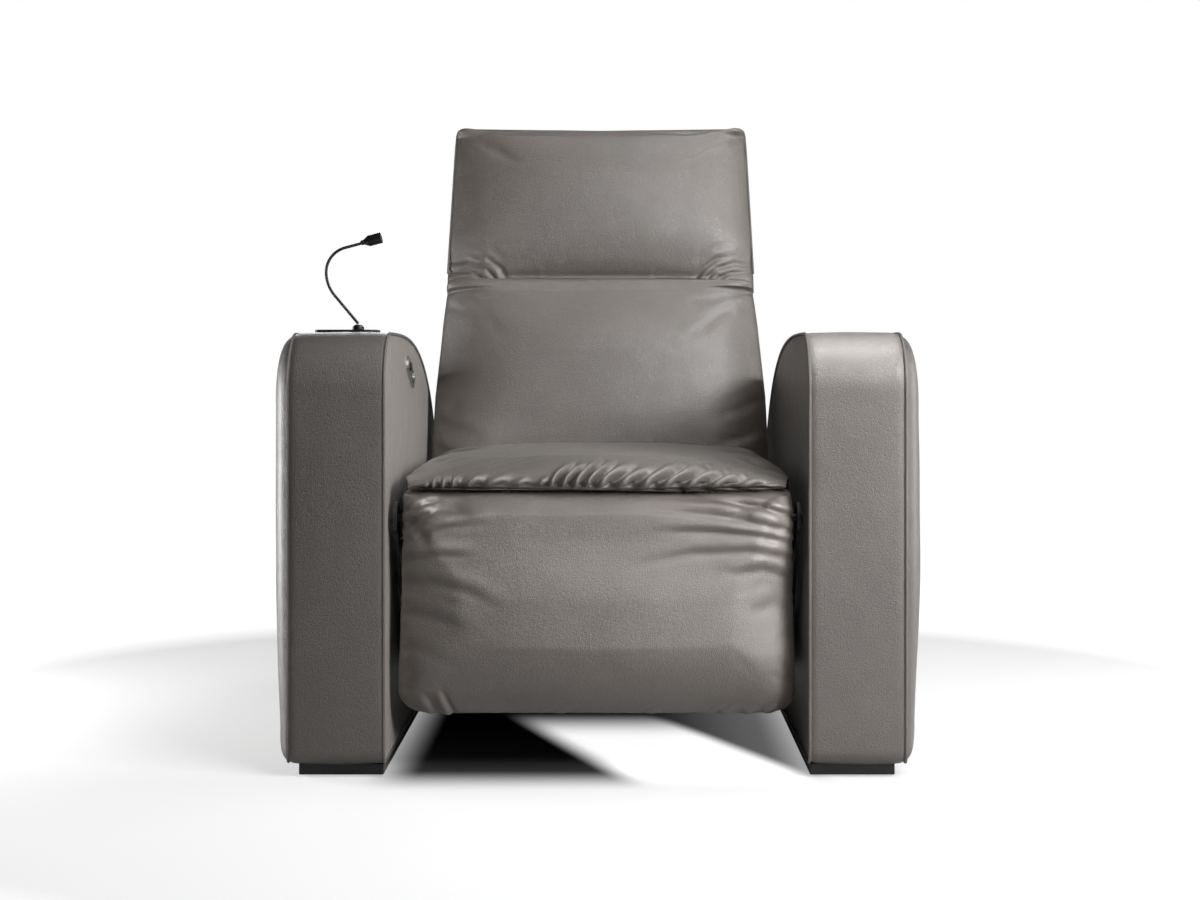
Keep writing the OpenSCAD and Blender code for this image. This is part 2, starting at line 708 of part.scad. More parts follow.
// Rod from its inner end to the eye at pin_at, both along Y
module actuator_rod(inner, pin_at) {
    from = min(inner, pin_at);
    difference() {
        union() {
            translate([0, from, 0]) rotate([-90, 0, 0]) cylinder(r = rod_r, h = abs(pin_at - inner),
                $fn = round_fn);
            translate([-eye_w, pin_at, 0]) rotate([0, 90, 0]) cylinder(r = eye_r, h = 2 * eye_w,
                $fn = round_fn);
        }
        translate([-eye_w - cut, pin_at, 0]) rotate([0, 90, 0])
            cylinder(r = cross_r, h = 2 * (eye_w + cut), $fn = round_fn);
    }
}
cross_end = 5;
module cross_pin(pin_at) {
    half = lever_spread + cross_end;
    translate([-half, pin_at, 0]) rotate([0, 90, 0]) cylinder(r = cross_r, h = 2 * half, $fn = round_fn);
}

// Legrest actuator: its pin starts behind the hinge and is pushed to the front
leg_act_h = leg_pivot_h - leg_lever;
leg_pin_rest = leg_d + leg_lever * tan(leg_swing / 2);
leg_travel = 2 * leg_lever * tan(leg_swing / 2);
rod_in_tube = 44;
leg_tube_front = leg_pin_rest + rod_in_tube;
leg_rod_inner = leg_tube_front + leg_travel + rod_in_tube;
leg_gear_from = frame_mid + seat_tube / 2 - gear_len / 2;
module at_leg_actuator() { from_front() translate([0, 0, leg_act_h]) children(); }
module legrest_motor() {
    color(black) at_leg_actuator() actuator_body(leg_gear_from, -1, leg_gear_from - leg_tube_front);
}
module legrest_actuator_rod() { color(zinc) at_leg_actuator() actuator_rod(leg_rod_inner, leg_pin_rest); }
module legrest_cross_pin() { color(zinc) at_leg_actuator() cross_pin(leg_pin_rest); }

// Back actuator: its pin starts behind the hinge and is drawn to the front
back_act_h = back_pivot_h - back_lever;
back_pin_rest = back_pivot_d + back_lever * tan(recline / 2);
back_travel = 2 * back_lever * tan(recline / 2);
back_tube_rear = back_pin_rest - back_travel - 2 * eye_r;
back_rod_inner = back_tube_rear - rod_in_tube;
back_gear_from = 310;
module at_back_actuator() { from_front() translate([0, 0, back_act_h]) children(); }
module back_motor() {
    color(black) at_back_actuator() {
        actuator_body(back_gear_from, 1, back_tube_rear - back_gear_from - gear_len);
        box([-gear_w / 2, rail_front_d - rail_size / 2, plate_low - back_act_h],
            [gear_w, rail_size, back_act_h - plate_low - gear_h / 2]);
    }
}
module back_actuator_rod() { color(zinc) at_back_actuator() actuator_rod(back_rod_inner, back_pin_rest); }
module back_cross_pin() { color(zinc) at_back_actuator() cross_pin(back_pin_rest); }

// Back: everything is placed about its hinge and leans with it, with Y to the rear and Z up the back
module at_back() {
    from_front() translate([0, back_pivot_d, back_pivot_h]) rotate([-back_lean, 0, 0]) children();
}
back_tube_d = 6;
back_cushion_rear = 3;
back_swell = 8;
back_draw_in = 4;
back_side_r = 34;
back_top_r = 12;
back_steps = 9;
swell_power_share = 0.8;
nose_steps = 5;
nose_to = 82;
head_axis_d = head_setback + head_nose_r - back_face;
head_axis_h = back_len + head_rise;
head_cut_r = head_nose_r + soft_gap;
function back_half(s) = back_w / 2 + (back_top_w - back_w) / 2 * max(0, min(1, s / back_len));
// The top edge is a lip in front of the headrest's nose, hollowed about the headrest's hinge
module back_cushion() {
    lip_from = head_axis_h - head_cut_r;
    nose = [for (i = [0 : nose_steps]) let (a = nose_to * (1 - i / nose_steps), y = back_face * cos(a))
        cushion_ring(-back_face * sin(a), back_w / 2 - slip, -y, min(back_cushion_rear, y - slip),
            min(back_side_r, y), 0)];
    body = [for (i = [1 : back_steps]) let (q = i / back_steps, s = (lip_from - slip) * q)
        cushion_ring(s, back_half(s) - slip - back_draw_in * sin(180 * q), -back_face, back_cushion_rear,
            back_side_r, back_swell * sin(180 * pow(q, swell_power_share)))];
    lip = [for (i = [0 : nose_steps]) let (q = i / nose_steps, s = lip_from + (back_len - lip_from) * q,
        e = max(0, (s - back_len + back_top_r) / back_top_r), in = back_top_r * (1 - sqrt(1 - e * e)))
        cushion_ring(s, back_half(s) - slip - in / 2, in - back_face,
            head_axis_d - sqrt(pow(head_cut_r, 2) - pow(head_axis_h - s, 2)), back_side_r, 0)];
    color(leather) at_back() skin(concat(nose, body, lip));
}

back_frame_half = 250;
back_frame_top = 315;
module back_frame() {
    bar = [back_tube, back_tube];
    color(steel) at_back() {
        box([-back_w / 2, back_tube_d, -back_tube / 2], [back_w, back_tube, back_tube]);
        box([-back_frame_half, back_tube_d, back_frame_top], [2 * back_frame_half, back_tube, back_tube]);
        for (side = [0, 1]) mirror([side, 0, 0])
            box([back_frame_half - back_tube, back_tube_d, back_tube / 2],
                [back_tube, back_tube, back_frame_top - back_tube / 2]);
    }
}

// Elastic webbing stretched across the front of the back frame
web_w = 50;
web_t = 2;
web_count = 4;
module back_webbing() {
    pitch = (back_frame_top - back_tube / 2) / web_count;
    color(foam_cloth) at_back() for (i = [0 : web_count - 1])
        box([-back_frame_half, back_tube_d - web_t, back_tube / 2 + pitch * (i + 0.5) - web_w / 2],
            [2 * back_frame_half, web_t, web_w]);
}

// Rear covers: shallow moulded trays with rounded corners, standing on posts
shell_low = -32;
shell_r = 22;
post_r = 7;
post_places_share = [0.22, 0.85];
module tray(outline_low, outline_high, low, high, depth, wall) {
    module face(by) {
        r = shell_r - by;
        polygon(concat(
            arc([shell_r - outline_low, low + shell_r], r, 180, 270, 5),
            arc([outline_low - shell_r, low + shell_r], r, 270, 360, 5),
            arc([outline_high - shell_r, high - shell_r], r, 0, 90, 5),
            arc([shell_r - outline_high, high - shell_r], r, 90, 180, 5)));
    }
    difference() {
        rotate([90, 0, 0]) translate([0, 0, -depth]) linear_extrude(depth) face(0);
        rotate([90, 0, 0]) translate([0, 0, wall - depth]) linear_extrude(depth) face(wall);
    }
}
shell_front = 5;
module back_shell() {
    high = back_frame_top + back_tube;
    deep = back_tube_d + back_tube + shell_d - shell_front;
    post_from = back_tube_d + back_tube;
    color(leather_dark) at_back() {
        difference() {
            translate([0, shell_front, 0])
                tray(back_half(0) - 2 * slip, back_half(high) - 2 * slip, shell_low, high +
                    shell_wall + slip, deep,
                    shell_wall);
            for (side = [0, 1]) mirror([side, 0, 0]) {
                box([back_w / 2 - 4 * shell_wall, 0, -back_tube / 2 - slip],
                    [back_w, back_tube_d + back_tube + slip, back_tube + 2 * slip]);
                box([arm_x - slip, 0, high - slip], [arm_t + 2 * slip, back_tube_d + back_tube,
                    back_tube]);
            }
            box([-lever_spread - slip, 0, shell_low - slip], [2 * (lever_spread + slip), back_face,
                back_tube / 2]);
        }
        for (side = [-1, 1], q = post_places_share)
            translate([side * (back_frame_half - back_tube / 2), post_from,
                back_frame_top * q]) rotate([-90, 0, 0])
                cylinder(r = post_r, h = shell_d - shell_wall, $fn = round_fn);
    }
}

bracket_t = 5;
bracket_r = 20;
bracket_in = back_w / 2;
module back_brackets() {
    color(steel) at_back() for (side = [0, 1]) mirror([side, 0, 0])
        translate([bracket_in, 0, 0]) rotate([90, 0, 90]) linear_extrude(bracket_t) difference() {
            union() {
                circle(r = bracket_r, $fn = round_fn);
                translate([0, -bracket_r]) square([back_tube_d + back_tube, 2 * bracket_r]);
            }
            circle(r = pin_r, $fn = round_fn);
        }
}
module back_pins() { color(zinc) at_back() hinge_pins(bracket_in); }

module back_lever_arms() {
    far = back_lever / cos(recline / 2) + cross_r + lever_end;
    turn = recline / 2 + back_lean;
    color(steel) at_back() for (side = [0, 1]) mirror([side, 0, 0])
        translate([lever_gap, 0, 0]) rotate([90, 0, 90]) linear_extrude(lever_t) difference() {
            rotate(turn) {
                translate([-lever_half, -far + lever_half]) square([2 * lever_half, far]);
                translate([0, -far + lever_half]) circle(r = lever_half, $fn = round_fn);
            }
            rotate(turn) lever_slot(back_lever, recline, back_yoke_share * back_lever);
            translate([-far, -far]) square([far + back_tube_d - slip, 2 * far]);
            translate([0, -back_tube / 2]) square([back_tube_d + back_tube, far]);
            translate([0, 0]) square([far, far]);
        }
}

// Headrest: placed about its own hinge in the leaning back
head_low_in = 6;
module at_head() { at_back() translate([0, head_axis_d, head_axis_h]) children(); }
head_low_half = back_top_w / 2 - head_low_in;
head_foam = 12;
head_board_t = 10;
head_side_r = 24;
head_top_r = 13;
head_swell = 5;
head_steps = 7;
head_board_in = 16;
function head_half(s) = head_low_half + (head_w / 2 - head_low_half) * max(0, s) / head_len;
// Notches for the hinge arms, open to the rear and below
arm_x = 150;
arm_t = 5;
arm_slip = 0.5;
notch_side = 4;
notch_r = 16;
// Height of the eye plates above the hinge, where they reach the board
eye_h = 36;
module head_notches(up) {
    for (side = [0, 1]) mirror([side, 0, 0])
        box([arm_x - notch_side, -notch_r, -head_nose_r - cut],
            [2 * arm_t + arm_slip + 2 * notch_side, notch_r + head_back + cut, head_nose_r + cut + up]);
}
module headrest_cushion() {
    nose = [for (i = [0 : nose_steps]) let (a = nose_to * (1 - i / nose_steps), y = head_nose_r * cos(a))
        cushion_ring(-head_nose_r * sin(a), head_low_half, -y, head_foam, min(head_side_r, y), 0)];
    body = [for (i = [1 : head_steps]) let (q = i / (head_steps + 1), s = (head_len - head_top_r) * q)
        cushion_ring(s, head_half(s), -head_nose_r, head_foam, head_side_r, head_swell * sin(180 * q))];
    top = [for (i = [0 : nose_steps]) let (a = 90 * i / nose_steps,
        s = head_len - head_top_r * (1 - sin(a)))
        cushion_ring(s, head_half(s) - head_top_r * (1 - cos(a)), head_top_r * (1 - cos(a)) - head_nose_r,
            head_foam, head_side_r, 0)];
    color(leather) at_head() difference() {
        skin(concat(nose, body, top));
        head_notches(eye_h + slip);
    }
}
module headrest_board() {
    color(birch) at_head() difference() {
        translate([0, head_foam, 0]) tray(head_low_half - head_board_in, head_w / 2 - head_board_in,
            head_board_in - head_nose_r, head_len - head_board_in, head_board_t, head_board_t);
        head_notches(notch_r);
    }
}
module headrest_shell() {
    deep = head_back - head_foam;
    color(leather_dark) at_head() difference() {
        translate([0, head_foam, 0]) tray(head_low_half - slip, head_w / 2 - slip,
            -head_nose_r, head_len - slip, deep, deep - head_board_t);
        head_notches(notch_r);
    }
}
head_eye_r = 12;
module headrest_arms() {
    foot_h = back_frame_top + back_tube - head_axis_h;
    foot_from = back_tube_d - head_axis_d;
    foot_to = foot_from + back_tube / 2;
    color(steel) at_head() for (side = [0, 1]) mirror([side, 0, 0])
        translate([arm_x, 0, 0]) rotate([90, 0, 90]) linear_extrude(arm_t) difference() {
            union() {
                circle(r = head_eye_r, $fn = round_fn);
                polygon([[0, -head_eye_r], [head_eye_r, 0], [foot_to, foot_h + head_eye_r], [foot_to,
                    foot_h],
                    [foot_from, foot_h], [foot_from, foot_h + arm_t + soft_gap]]);
            }
            circle(r = pin_r - slip + run_play, $fn = round_fn);
        }
}
module headrest_eyes() {
    color(steel) at_head() for (side = [0, 1]) mirror([side, 0, 0])
        translate([arm_x + arm_t + arm_slip, 0, 0]) rotate([90, 0,
            90]) linear_extrude(arm_t) difference() {
            union() {
                circle(r = head_eye_r, $fn = round_fn);
                translate([head_foam - head_eye_r, 0]) square([head_eye_r, eye_h]);
                translate([0, -head_eye_r]) square([head_foam, 2 * head_eye_r]);
            }
            circle(r = pin_r - slip, $fn = round_fn);
        }
}
module headrest_pins() {
    color(zinc) at_head() for (side = [0, 1]) mirror([side, 0, 0])
        translate([arm_x - slip, 0, 0]) rotate([0, 90, 0])
            cylinder(r = pin_r - slip, h = 2 * arm_t + arm_slip + 2 * slip, $fn = round_fn);
}

// Control on the left arm's inner face: an oblong bezel, two buttons and the switch box behind
button_gap = 0.4;
button_out = 2.5;
button_deep = 6;
button_places_share = [-0.26, 0.26];
module oblong(len, h, t) {
    rotate([90, 0, 90]) linear_extrude(t) {
        for (s = [-1, 1]) translate([s * (len - h) / 2, 0]) circle(r = h / 2, $fn = round_fn);
        translate([-(len - h) / 2, -h / 2]) square([len - h, h]);
    }
}
bezel_seat = 1.3;
module control_bezel() {
    color(zinc) from_front() at_control(arm_in) difference() {
        translate([-bezel_seat, 0, 0]) oblong(bezel_len, bezel_h, bezel_t + bezel_seat);
        for (q = button_places_share) translate([-bezel_seat - cut, q * bezel_len, 0]) rotate([0, 90, 0])
            cylinder(r = button_d / 2 + button_gap, h = bezel_t + bezel_seat + 2 * cut, $fn = round_fn);
    }
}
module button(q) {
    from_front() at_control(arm_in) translate([-button_deep + bezel_t, q * bezel_len, 0]) rotate([0,
        90, 0])
        cylinder(r = button_d / 2, h = button_deep + button_out, $fn = round_fn);
}
module recline_button() { color(black) button(button_places_share[0]); }
module return_button() { color(zinc) button(button_places_share[1]); }
// The box stays clear of the buttons' inner ends, whose stems press its switches
stem_room = 0.4;
module switch_box() {
    top = bezel_t - button_deep - button_travel - stem_room;
    color(black) from_front() at_control(arm_in)
        box([top - box_deep, -box_len / 2, -box_h / 2], [box_deep, box_len, box_h]);
}

// Reading lamp on the console plate: a bent neck of two arcs and two straights
console_x = arm_in + arm_w / 2;
console_front = 95;
console_r = 12;
console_ring_n = 5;
lamp_x = 366;
lamp_y_d = 130;
socket_r = 9;
socket_h = 8;
socket_gap = 0.2;
module console_plate() {
    w = console_w / 2 - console_r;
    d = console_d / 2 - console_r;
    color(black) from_front() translate([-console_x, console_front + console_d / 2,
        arm_h]) linear_extrude(console_t)
        polygon(concat(arc([-w, -d], console_r, 180, 270, console_ring_n), arc([w, -d], console_r, 270,
            360, console_ring_n),
            arc([w, d], console_r, 0, 90, console_ring_n), arc([-w, d], console_r, 90, 180,
                console_ring_n)));
}
module at_lamp() { from_front() translate([-lamp_x, lamp_y_d, arm_h + console_t]) children(); }
module lamp_socket() {
    color(black) at_lamp() translate([0, 0, socket_gap]) {
        cylinder(r = socket_r, h = socket_h / 2, $fn = round_fn);
        translate([0, 0, socket_h / 2]) cylinder(r1 = socket_r, r2 = neck_d, h = socket_h / 2,
            $fn = round_fn);
    }
}
neck_lean = 40;
neck_turn = 75;
neck_root = 57;
neck_low_r = 55;
neck_high_r = 39;
neck_tip = 24;
// The neck's slanted end stands on the socket with its lower edge
neck_from = socket_h + neck_d / 2 * sin(neck_lean);
// Draws the children at the end of a stretch of the neck: straight by len, or turned about a radius
module after_straight(len) { translate([0, 0, len]) children(); }
module after_turn(r, a) { translate([r, 0, 0]) rotate([0, a, 0]) translate([-r, 0, 0]) children(); }
// Stations of the neck in the plane that it bends in: place across, place up, and lean to the right
neck_sides = 10;
neck_arc_n = 8;
function neck_turned(from, r, a) = [for (i = [0 : neck_arc_n]) let (b = from[2] + a * i / neck_arc_n)
    [from[0] + r * (cos(from[2]) - cos(b)), from[1] + r * (sin(b) - sin(from[2])), b]];
function neck_path() =
    let (start = [0, 0, -neck_lean],
        low = neck_turned([-neck_root * sin(neck_lean), neck_root * cos(neck_lean), -neck_lean],
            neck_low_r, neck_lean),
        high = neck_turned(low[neck_arc_n], neck_high_r, neck_turn), last = high[neck_arc_n])
    concat([start], low, [for (i = [1 : neck_arc_n]) high[i]],
        [[last[0] + neck_tip * sin(last[2]), last[1] + neck_tip * cos(last[2]), last[2]]]);
module along_neck() {
    translate([0, 0, neck_from]) rotate([0, -neck_lean, 0]) after_straight(neck_root)
        after_turn(neck_low_r, neck_lean) after_turn(neck_high_r,
            neck_turn) after_straight(neck_tip) children();
}
module lamp_neck() {
    r = neck_d / 2;
    color(black) at_lamp() translate([0, 0, neck_from]) skin([for (p = neck_path())
        [for (k = [0 : neck_sides - 1]) let (a = 360 * k / neck_sides)
            [p[0] + r * cos(a) * cos(p[2]), r * sin(a), p[1] - r * cos(a) * sin(p[2])]]]);
}
// The head turns on a ball just past the neck's end
ball_r = 4;
ball_gap = 0.3;
lamp_bezel = 2;
module lamp_head() {
    color(black) at_lamp() along_neck() translate([0, 0, ball_r + ball_gap]) difference() {
        union() {
            sphere(r = ball_r, $fn = round_fn);
            translate([0, 0, ball_r / 2]) cylinder(r1 = ball_r, r2 = lamp_d / 2,
                h = lamp_len / 3 - ball_r / 2,
                $fn = round_fn);
            translate([0, 0, lamp_len / 3]) cylinder(r = lamp_d / 2, h = lamp_len * 2 / 3,
                $fn = round_fn);
        }
        translate([0, 0, lamp_len - 2 * lamp_bezel])
            cylinder(r = lamp_d / 2 - lamp_bezel, h = 2 * lamp_bezel + cut, $fn = round_fn);
    }
}
module lamp_lens() {
    color("white") at_lamp() along_neck() translate([0, 0, ball_r + ball_gap + lamp_len - 2 * lamp_bezel])
        cylinder(r = lamp_d / 2 - lamp_bezel, h = lamp_bezel, $fn = round_fn);
}

// Power: a control box on the rear rail, with a flush inlet
power_w = 120;
power_d = 36;
power_h = 46;
power_x = 70;
inlet_w = 28;
inlet_h = 20;
inlet_deep = 12;
inlet_out = 2;
module at_power() { from_front() translate([power_x, rail_rear_d - power_d / 2, plate_low]) children(); }
module control_box() {
    color(black) at_power() difference() {
        cube([power_w, power_d, power_h]);
        box([(power_w - inlet_w) / 2, power_d - inlet_deep, (power_h - inlet_h) / 2],
            [inlet_w, inlet_deep + cut, inlet_h]);
    }
}
module power_inlet() {
    color(black) at_power() difference() {
        box([(power_w - inlet_w) / 2, power_d - inlet_deep, (power_h - inlet_h) / 2],
            [inlet_w, inlet_deep + inlet_out, inlet_h]);
        box([(power_w - inlet_w) / 2 + inlet_out, power_d - inlet_deep / 2, (power_h - inlet_h) / 2 +
            inlet_out],
            [inlet_w - 2 * inlet_out, inlet_deep, inlet_h - 2 * inlet_out]);
    }
}

arm_frame(true);  // left_arm_frame
arm_frame(false);  // right_arm_frame
arm_band(true);  // left_arm_band
arm_band(false);  // right_arm_band
arm_inner_panel(true);  // left_arm_inner_panel
arm_inner_panel(false);  // right_arm_inner_panel
arm_outer_panel(true);  // left_arm_outer_panel
arm_outer_panel(false);  // right_arm_outer_panel
arm_piping(true);  // left_arm_piping
arm_piping(false);  // right_arm_piping
plinth(true);  // left_plinth
plinth(false);  // right_plinth
floor_glides();
rail_bolts();
cross_rail(rail_front_d);  // front_cross_rail
cross_rail(rail_rear_d);  // rear_cross_rail
side_plate(true);  // left_side_plate
side_plate(false);  // right_side_plate
seat_frame();
seat_board();
seat_cushion();
legrest_board();
legrest_cushion();
legrest_lining();
legrest_brackets();
legrest_pins();
legrest_lever();
legrest_motor();
legrest_actuator_rod();
legrest_cross_pin();
back_frame();
back_webbing();
back_cushion();
back_shell();
back_brackets();
back_pins();
back_lever_arms();
back_motor();
back_actuator_rod();
back_cross_pin();
headrest_board();
headrest_cushion();
headrest_shell();
headrest_arms();
headrest_eyes();
headrest_pins();
control_bezel();
recline_button();
return_button();
switch_box();
console_plate();
lamp_socket();
lamp_neck();
lamp_head();
lamp_lens();
control_box();
power_inlet();
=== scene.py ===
import json
import math

import bmesh
import bpy
import numpy as np
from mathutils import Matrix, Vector, noise

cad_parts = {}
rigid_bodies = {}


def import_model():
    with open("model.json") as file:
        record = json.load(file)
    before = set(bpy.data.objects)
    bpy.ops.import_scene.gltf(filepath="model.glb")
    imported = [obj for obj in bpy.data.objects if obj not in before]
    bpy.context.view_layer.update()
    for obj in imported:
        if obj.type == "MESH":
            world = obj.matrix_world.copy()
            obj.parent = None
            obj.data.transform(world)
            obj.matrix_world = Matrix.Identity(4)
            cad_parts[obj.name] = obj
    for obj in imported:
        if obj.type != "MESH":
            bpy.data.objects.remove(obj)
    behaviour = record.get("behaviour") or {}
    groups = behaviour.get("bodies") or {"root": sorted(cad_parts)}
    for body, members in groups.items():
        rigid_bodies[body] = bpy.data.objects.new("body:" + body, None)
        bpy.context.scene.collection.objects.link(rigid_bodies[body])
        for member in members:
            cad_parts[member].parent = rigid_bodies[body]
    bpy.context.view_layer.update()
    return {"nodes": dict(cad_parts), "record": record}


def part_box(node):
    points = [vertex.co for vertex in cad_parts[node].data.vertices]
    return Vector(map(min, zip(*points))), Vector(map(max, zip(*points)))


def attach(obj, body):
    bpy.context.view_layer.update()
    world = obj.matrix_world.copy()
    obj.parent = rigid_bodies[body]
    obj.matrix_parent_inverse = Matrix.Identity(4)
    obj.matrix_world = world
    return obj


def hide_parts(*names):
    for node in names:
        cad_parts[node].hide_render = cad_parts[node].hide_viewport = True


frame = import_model()
scene = bpy.context.scene
MM = 0.001

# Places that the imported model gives, in metres

band_lo, band_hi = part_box("right_arm_band")
seat_lo, seat_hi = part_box("seat_cushion")
leg_lo, leg_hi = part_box("legrest_cushion")
joints = {j["name"]: j for j in frame["record"]["behaviour"]["joints"]}
FRONT = band_lo[1]
ARM_DEPTH = band_hi[1] - band_lo[1]
ARM_TOP = band_hi[2]
ARM_FOOT = band_lo[2]
ARM_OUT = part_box("right_arm_outer_panel")[1][0]
LEG_AXIS = Vector(joints["legrest_lift"]["pos_m"])
BACK_AXIS = Vector(joints["back_recline"]["pos_m"])
HEAD_AXIS = Vector(joints["headrest_tilt"]["pos_m"])
LEAN = math.radians(15)


# Materials

def new_material(name):
    m = bpy.data.materials.new(name)
    m.use_nodes = True
    m.node_tree.nodes.clear()
    return m, m.node_tree


def node(tree, kind, inputs=None, **props):
    n = tree.nodes.new(kind)
    for key, value in props.items():
        setattr(n, key, value)
    for key, value in (inputs or {}).items():
        socket = n.inputs[key]
        if isinstance(value, bpy.types.NodeSocket):
            tree.links.new(value, socket)
        else:
            socket.default_value = value
    return n


def srgb(r, g, b):
    def line(c):
        c /= 255
        return c / 12.92 if c <= 0.04045 else ((c + 0.055) / 1.055) ** 2.4
    return (line(r), line(g), line(b), 1)


def ramp(tree, factor, stops):
    n = node(tree, "ShaderNodeValToRGB", {"Fac": factor})
    elements = n.color_ramp.elements
    while len(elements) < len(stops):
        elements.new(0.5)
    for element, (place, colour) in zip(elements, stops):
        element.position = place
        element.color = colour if len(colour) == 4 else (*colour, 1)
    return n


def leather(name, light, dark, rough=0.43, grain=0.0021, grain_depth=0.00042, crease_depth=0.0009):
    """Grained leather: pebbles between fine furrows, soft creases, and slightly cloudy colour."""
    m, t = new_material(name)
    place = node(t, "ShaderNodeTexCoord").outputs["Object"]
    warp = node(t, "ShaderNodeTexNoise", {"Vector": place, "Scale": 180.0, "Detail": 2.0})
    bent = node(t, "ShaderNodeVectorMath", {0: warp.outputs["Color"], 1: (0.0011, 0.0011, 0.0011), 2: place},
                operation="MULTIPLY_ADD")
    cells = node(t, "ShaderNodeTexVoronoi", {"Vector": bent.outputs[0], "Scale": 1 / grain},
                 feature="DISTANCE_TO_EDGE")
    pebble = node(t, "ShaderNodeMapRange", {"Value": cells.outputs["Distance"], "From Max": 0.28})
    fine = node(t, "ShaderNodeTexNoise", {"Vector": place, "Scale": 1500.0, "Detail": 3.0})
    cloud = node(t, "ShaderNodeTexNoise", {"Vector": place, "Scale": 7.0, "Detail": 5.0, "Roughness": 0.6})
    crease = node(t, "ShaderNodeTexNoise", {"Vector": place, "Scale": 38.0, "Detail": 4.0, "Distortion": 0.6})
    height = node(t, "ShaderNodeMath", {0: pebble.outputs[0], 1: fine.outputs["Fac"]}, operation="ADD")
    tone = ramp(t, cloud.outputs["Fac"], [(0.32, dark), (0.68, light)])
    # Painted shade: the colour darkens in the furrows between the pebbles.
    furrow = node(t, "ShaderNodeMix", {"Factor": 0.0, 6: tone.outputs["Color"], 7: dark}, data_type="RGBA")
    shade = node(t, "ShaderNodeMapRange", {"Value": pebble.outputs[0], "To Min": 0.4, "To Max": 0.0})
    t.links.new(shade.outputs[0], furrow.inputs["Factor"])
    gloss = node(t, "ShaderNodeMapRange", {"Value": crease.outputs["Fac"], "From Min": 0.3, "From Max": 0.7,
                                           "To Min": rough - 0.06, "To Max": rough + 0.08})
    speck = node(t, "ShaderNodeTexNoise", {"Vector": place, "Scale": 260.0, "Detail": 3.0})
    both = node(t, "ShaderNodeMath", {0: crease.outputs["Fac"], 1: speck.outputs["Fac"]}, operation="ADD")
    soft = node(t, "ShaderNodeBump", {"Height": both.outputs[0], "Distance": crease_depth, "Strength": 0.6})
    bump = node(t, "ShaderNodeBump", {"Height": height.outputs[0], "Distance": grain_depth, "Strength": 0.75,
                                      "Normal": soft.outputs["Normal"]})
    shader = node(t, "ShaderNodeBsdfPrincipled", {
        "Base Color": furrow.outputs["Result"], "Roughness": gloss.outputs[0], "Normal": bump.outputs["Normal"],
        "Specular IOR Level": 1.0, "Coat Weight": 0.55, "Coat Roughness": 0.42,
        "Sheen Weight": 0.12, "Sheen Roughness": 0.45})
    node(t, "ShaderNodeOutputMaterial", {"Surface": shader.outputs[0]})
    return m


def plain(name, colour, rough, metallic=0.0, grain_scale=900.0, grain_depth=0.00004, brushed=None, coat=0.0):
    """Painted, moulded or brushed surface with a fine texture and slightly uneven gloss."""
    m, t = new_material(name)
    place = node(t, "ShaderNodeTexCoord").outputs["Object"]
    if brushed:
        place = node(t, "ShaderNodeMapping", {"Vector": place, "Scale": brushed}).outputs[0]
    fine = node(t, "ShaderNodeTexNoise", {"Vector": place, "Scale": grain_scale, "Detail": 3.0})
    smear = node(t, "ShaderNodeTexNoise", {"Vector": place, "Scale": 22.0, "Detail": 4.0})
    gloss = node(t, "ShaderNodeMapRange", {"Value": smear.outputs["Fac"], "To Min": rough * 0.85,
                                           "To Max": min(1.0, rough * 1.2)})
    tone = ramp(t, smear.outputs["Fac"], [(0.3, tuple(c * 0.88 for c in colour[:3])), (0.7, colour)])
    bump = node(t, "ShaderNodeBump", {"Height": fine.outputs["Fac"], "Distance": grain_depth, "Strength": 0.6})
    shader = node(t, "ShaderNodeBsdfPrincipled", {
        "Base Color": tone.outputs["Color"], "Roughness": gloss.outputs[0], "Normal": bump.outputs["Normal"],
        "Metallic": metallic, "Coat Weight": coat})
    node(t, "ShaderNodeOutputMaterial", {"Surface": shader.outputs[0]})
    return m


def plywood():
    """Birch board: long grain with darker streaks."""
    m, t = new_material("birch_board")
    place = node(t, "ShaderNodeTexCoord").outputs["Object"]
    stretched = node(t, "ShaderNodeMapping", {"Vector": place, "Scale": (6.0, 60.0, 60.0)})
    grain = node(t, "ShaderNodeTexNoise", {"Vector": stretched.outputs[0], "Scale": 3.0, "Detail": 6.0,
                                           "Distortion": 0.8})
    tone = ramp(t, grain.outputs["Fac"], [(0.3, srgb(170, 132, 88)), (0.7, srgb(208, 176, 130))])
    bump = node(t, "ShaderNodeBump", {"Height": grain.outputs["Fac"], "Distance": 0.0002, "Strength": 0.5})
    shader = node(t, "ShaderNodeBsdfPrincipled", {"Base Color": tone.outputs["Color"], "Roughness": 0.6,
                                                  "Normal": bump.outputs["Normal"]})
    node(t, "ShaderNodeOutputMaterial", {"Surface": shader.outputs[0]})
    return m


def woven(name, colour):
    """Coarse woven webbing or lining cloth."""
    m, t = new_material(name)
    place = node(t, "ShaderNodeTexCoord").outputs["Object"]
    across = node(t, "ShaderNodeTexWave", {"Vector": place, "Scale": 260.0, "Distortion": 0.3},
                  bands_direction="X")
    along = node(t, "ShaderNodeTexWave", {"Vector": place, "Scale": 260.0, "Distortion": 0.3},
                 bands_direction="Z")
    threads = node(t, "ShaderNodeMath", {0: across.outputs["Fac"], 1: along.outputs["Fac"]},
                   operation="MULTIPLY")
    tone = ramp(t, threads.outputs[0], [(0.0, tuple(c * 0.5 for c in colour[:3])), (0.6, colour)])
    bump = node(t, "ShaderNodeBump", {"Height": threads.outputs[0], "Distance": 0.0004, "Strength": 0.7})
    shader = node(t, "ShaderNodeBsdfPrincipled", {"Base Color": tone.outputs["Color"], "Roughness": 0.9,
                                                  "Normal": bump.outputs["Normal"]})
    node(t, "ShaderNodeOutputMaterial", {"Surface": shader.outputs[0]})
    return m


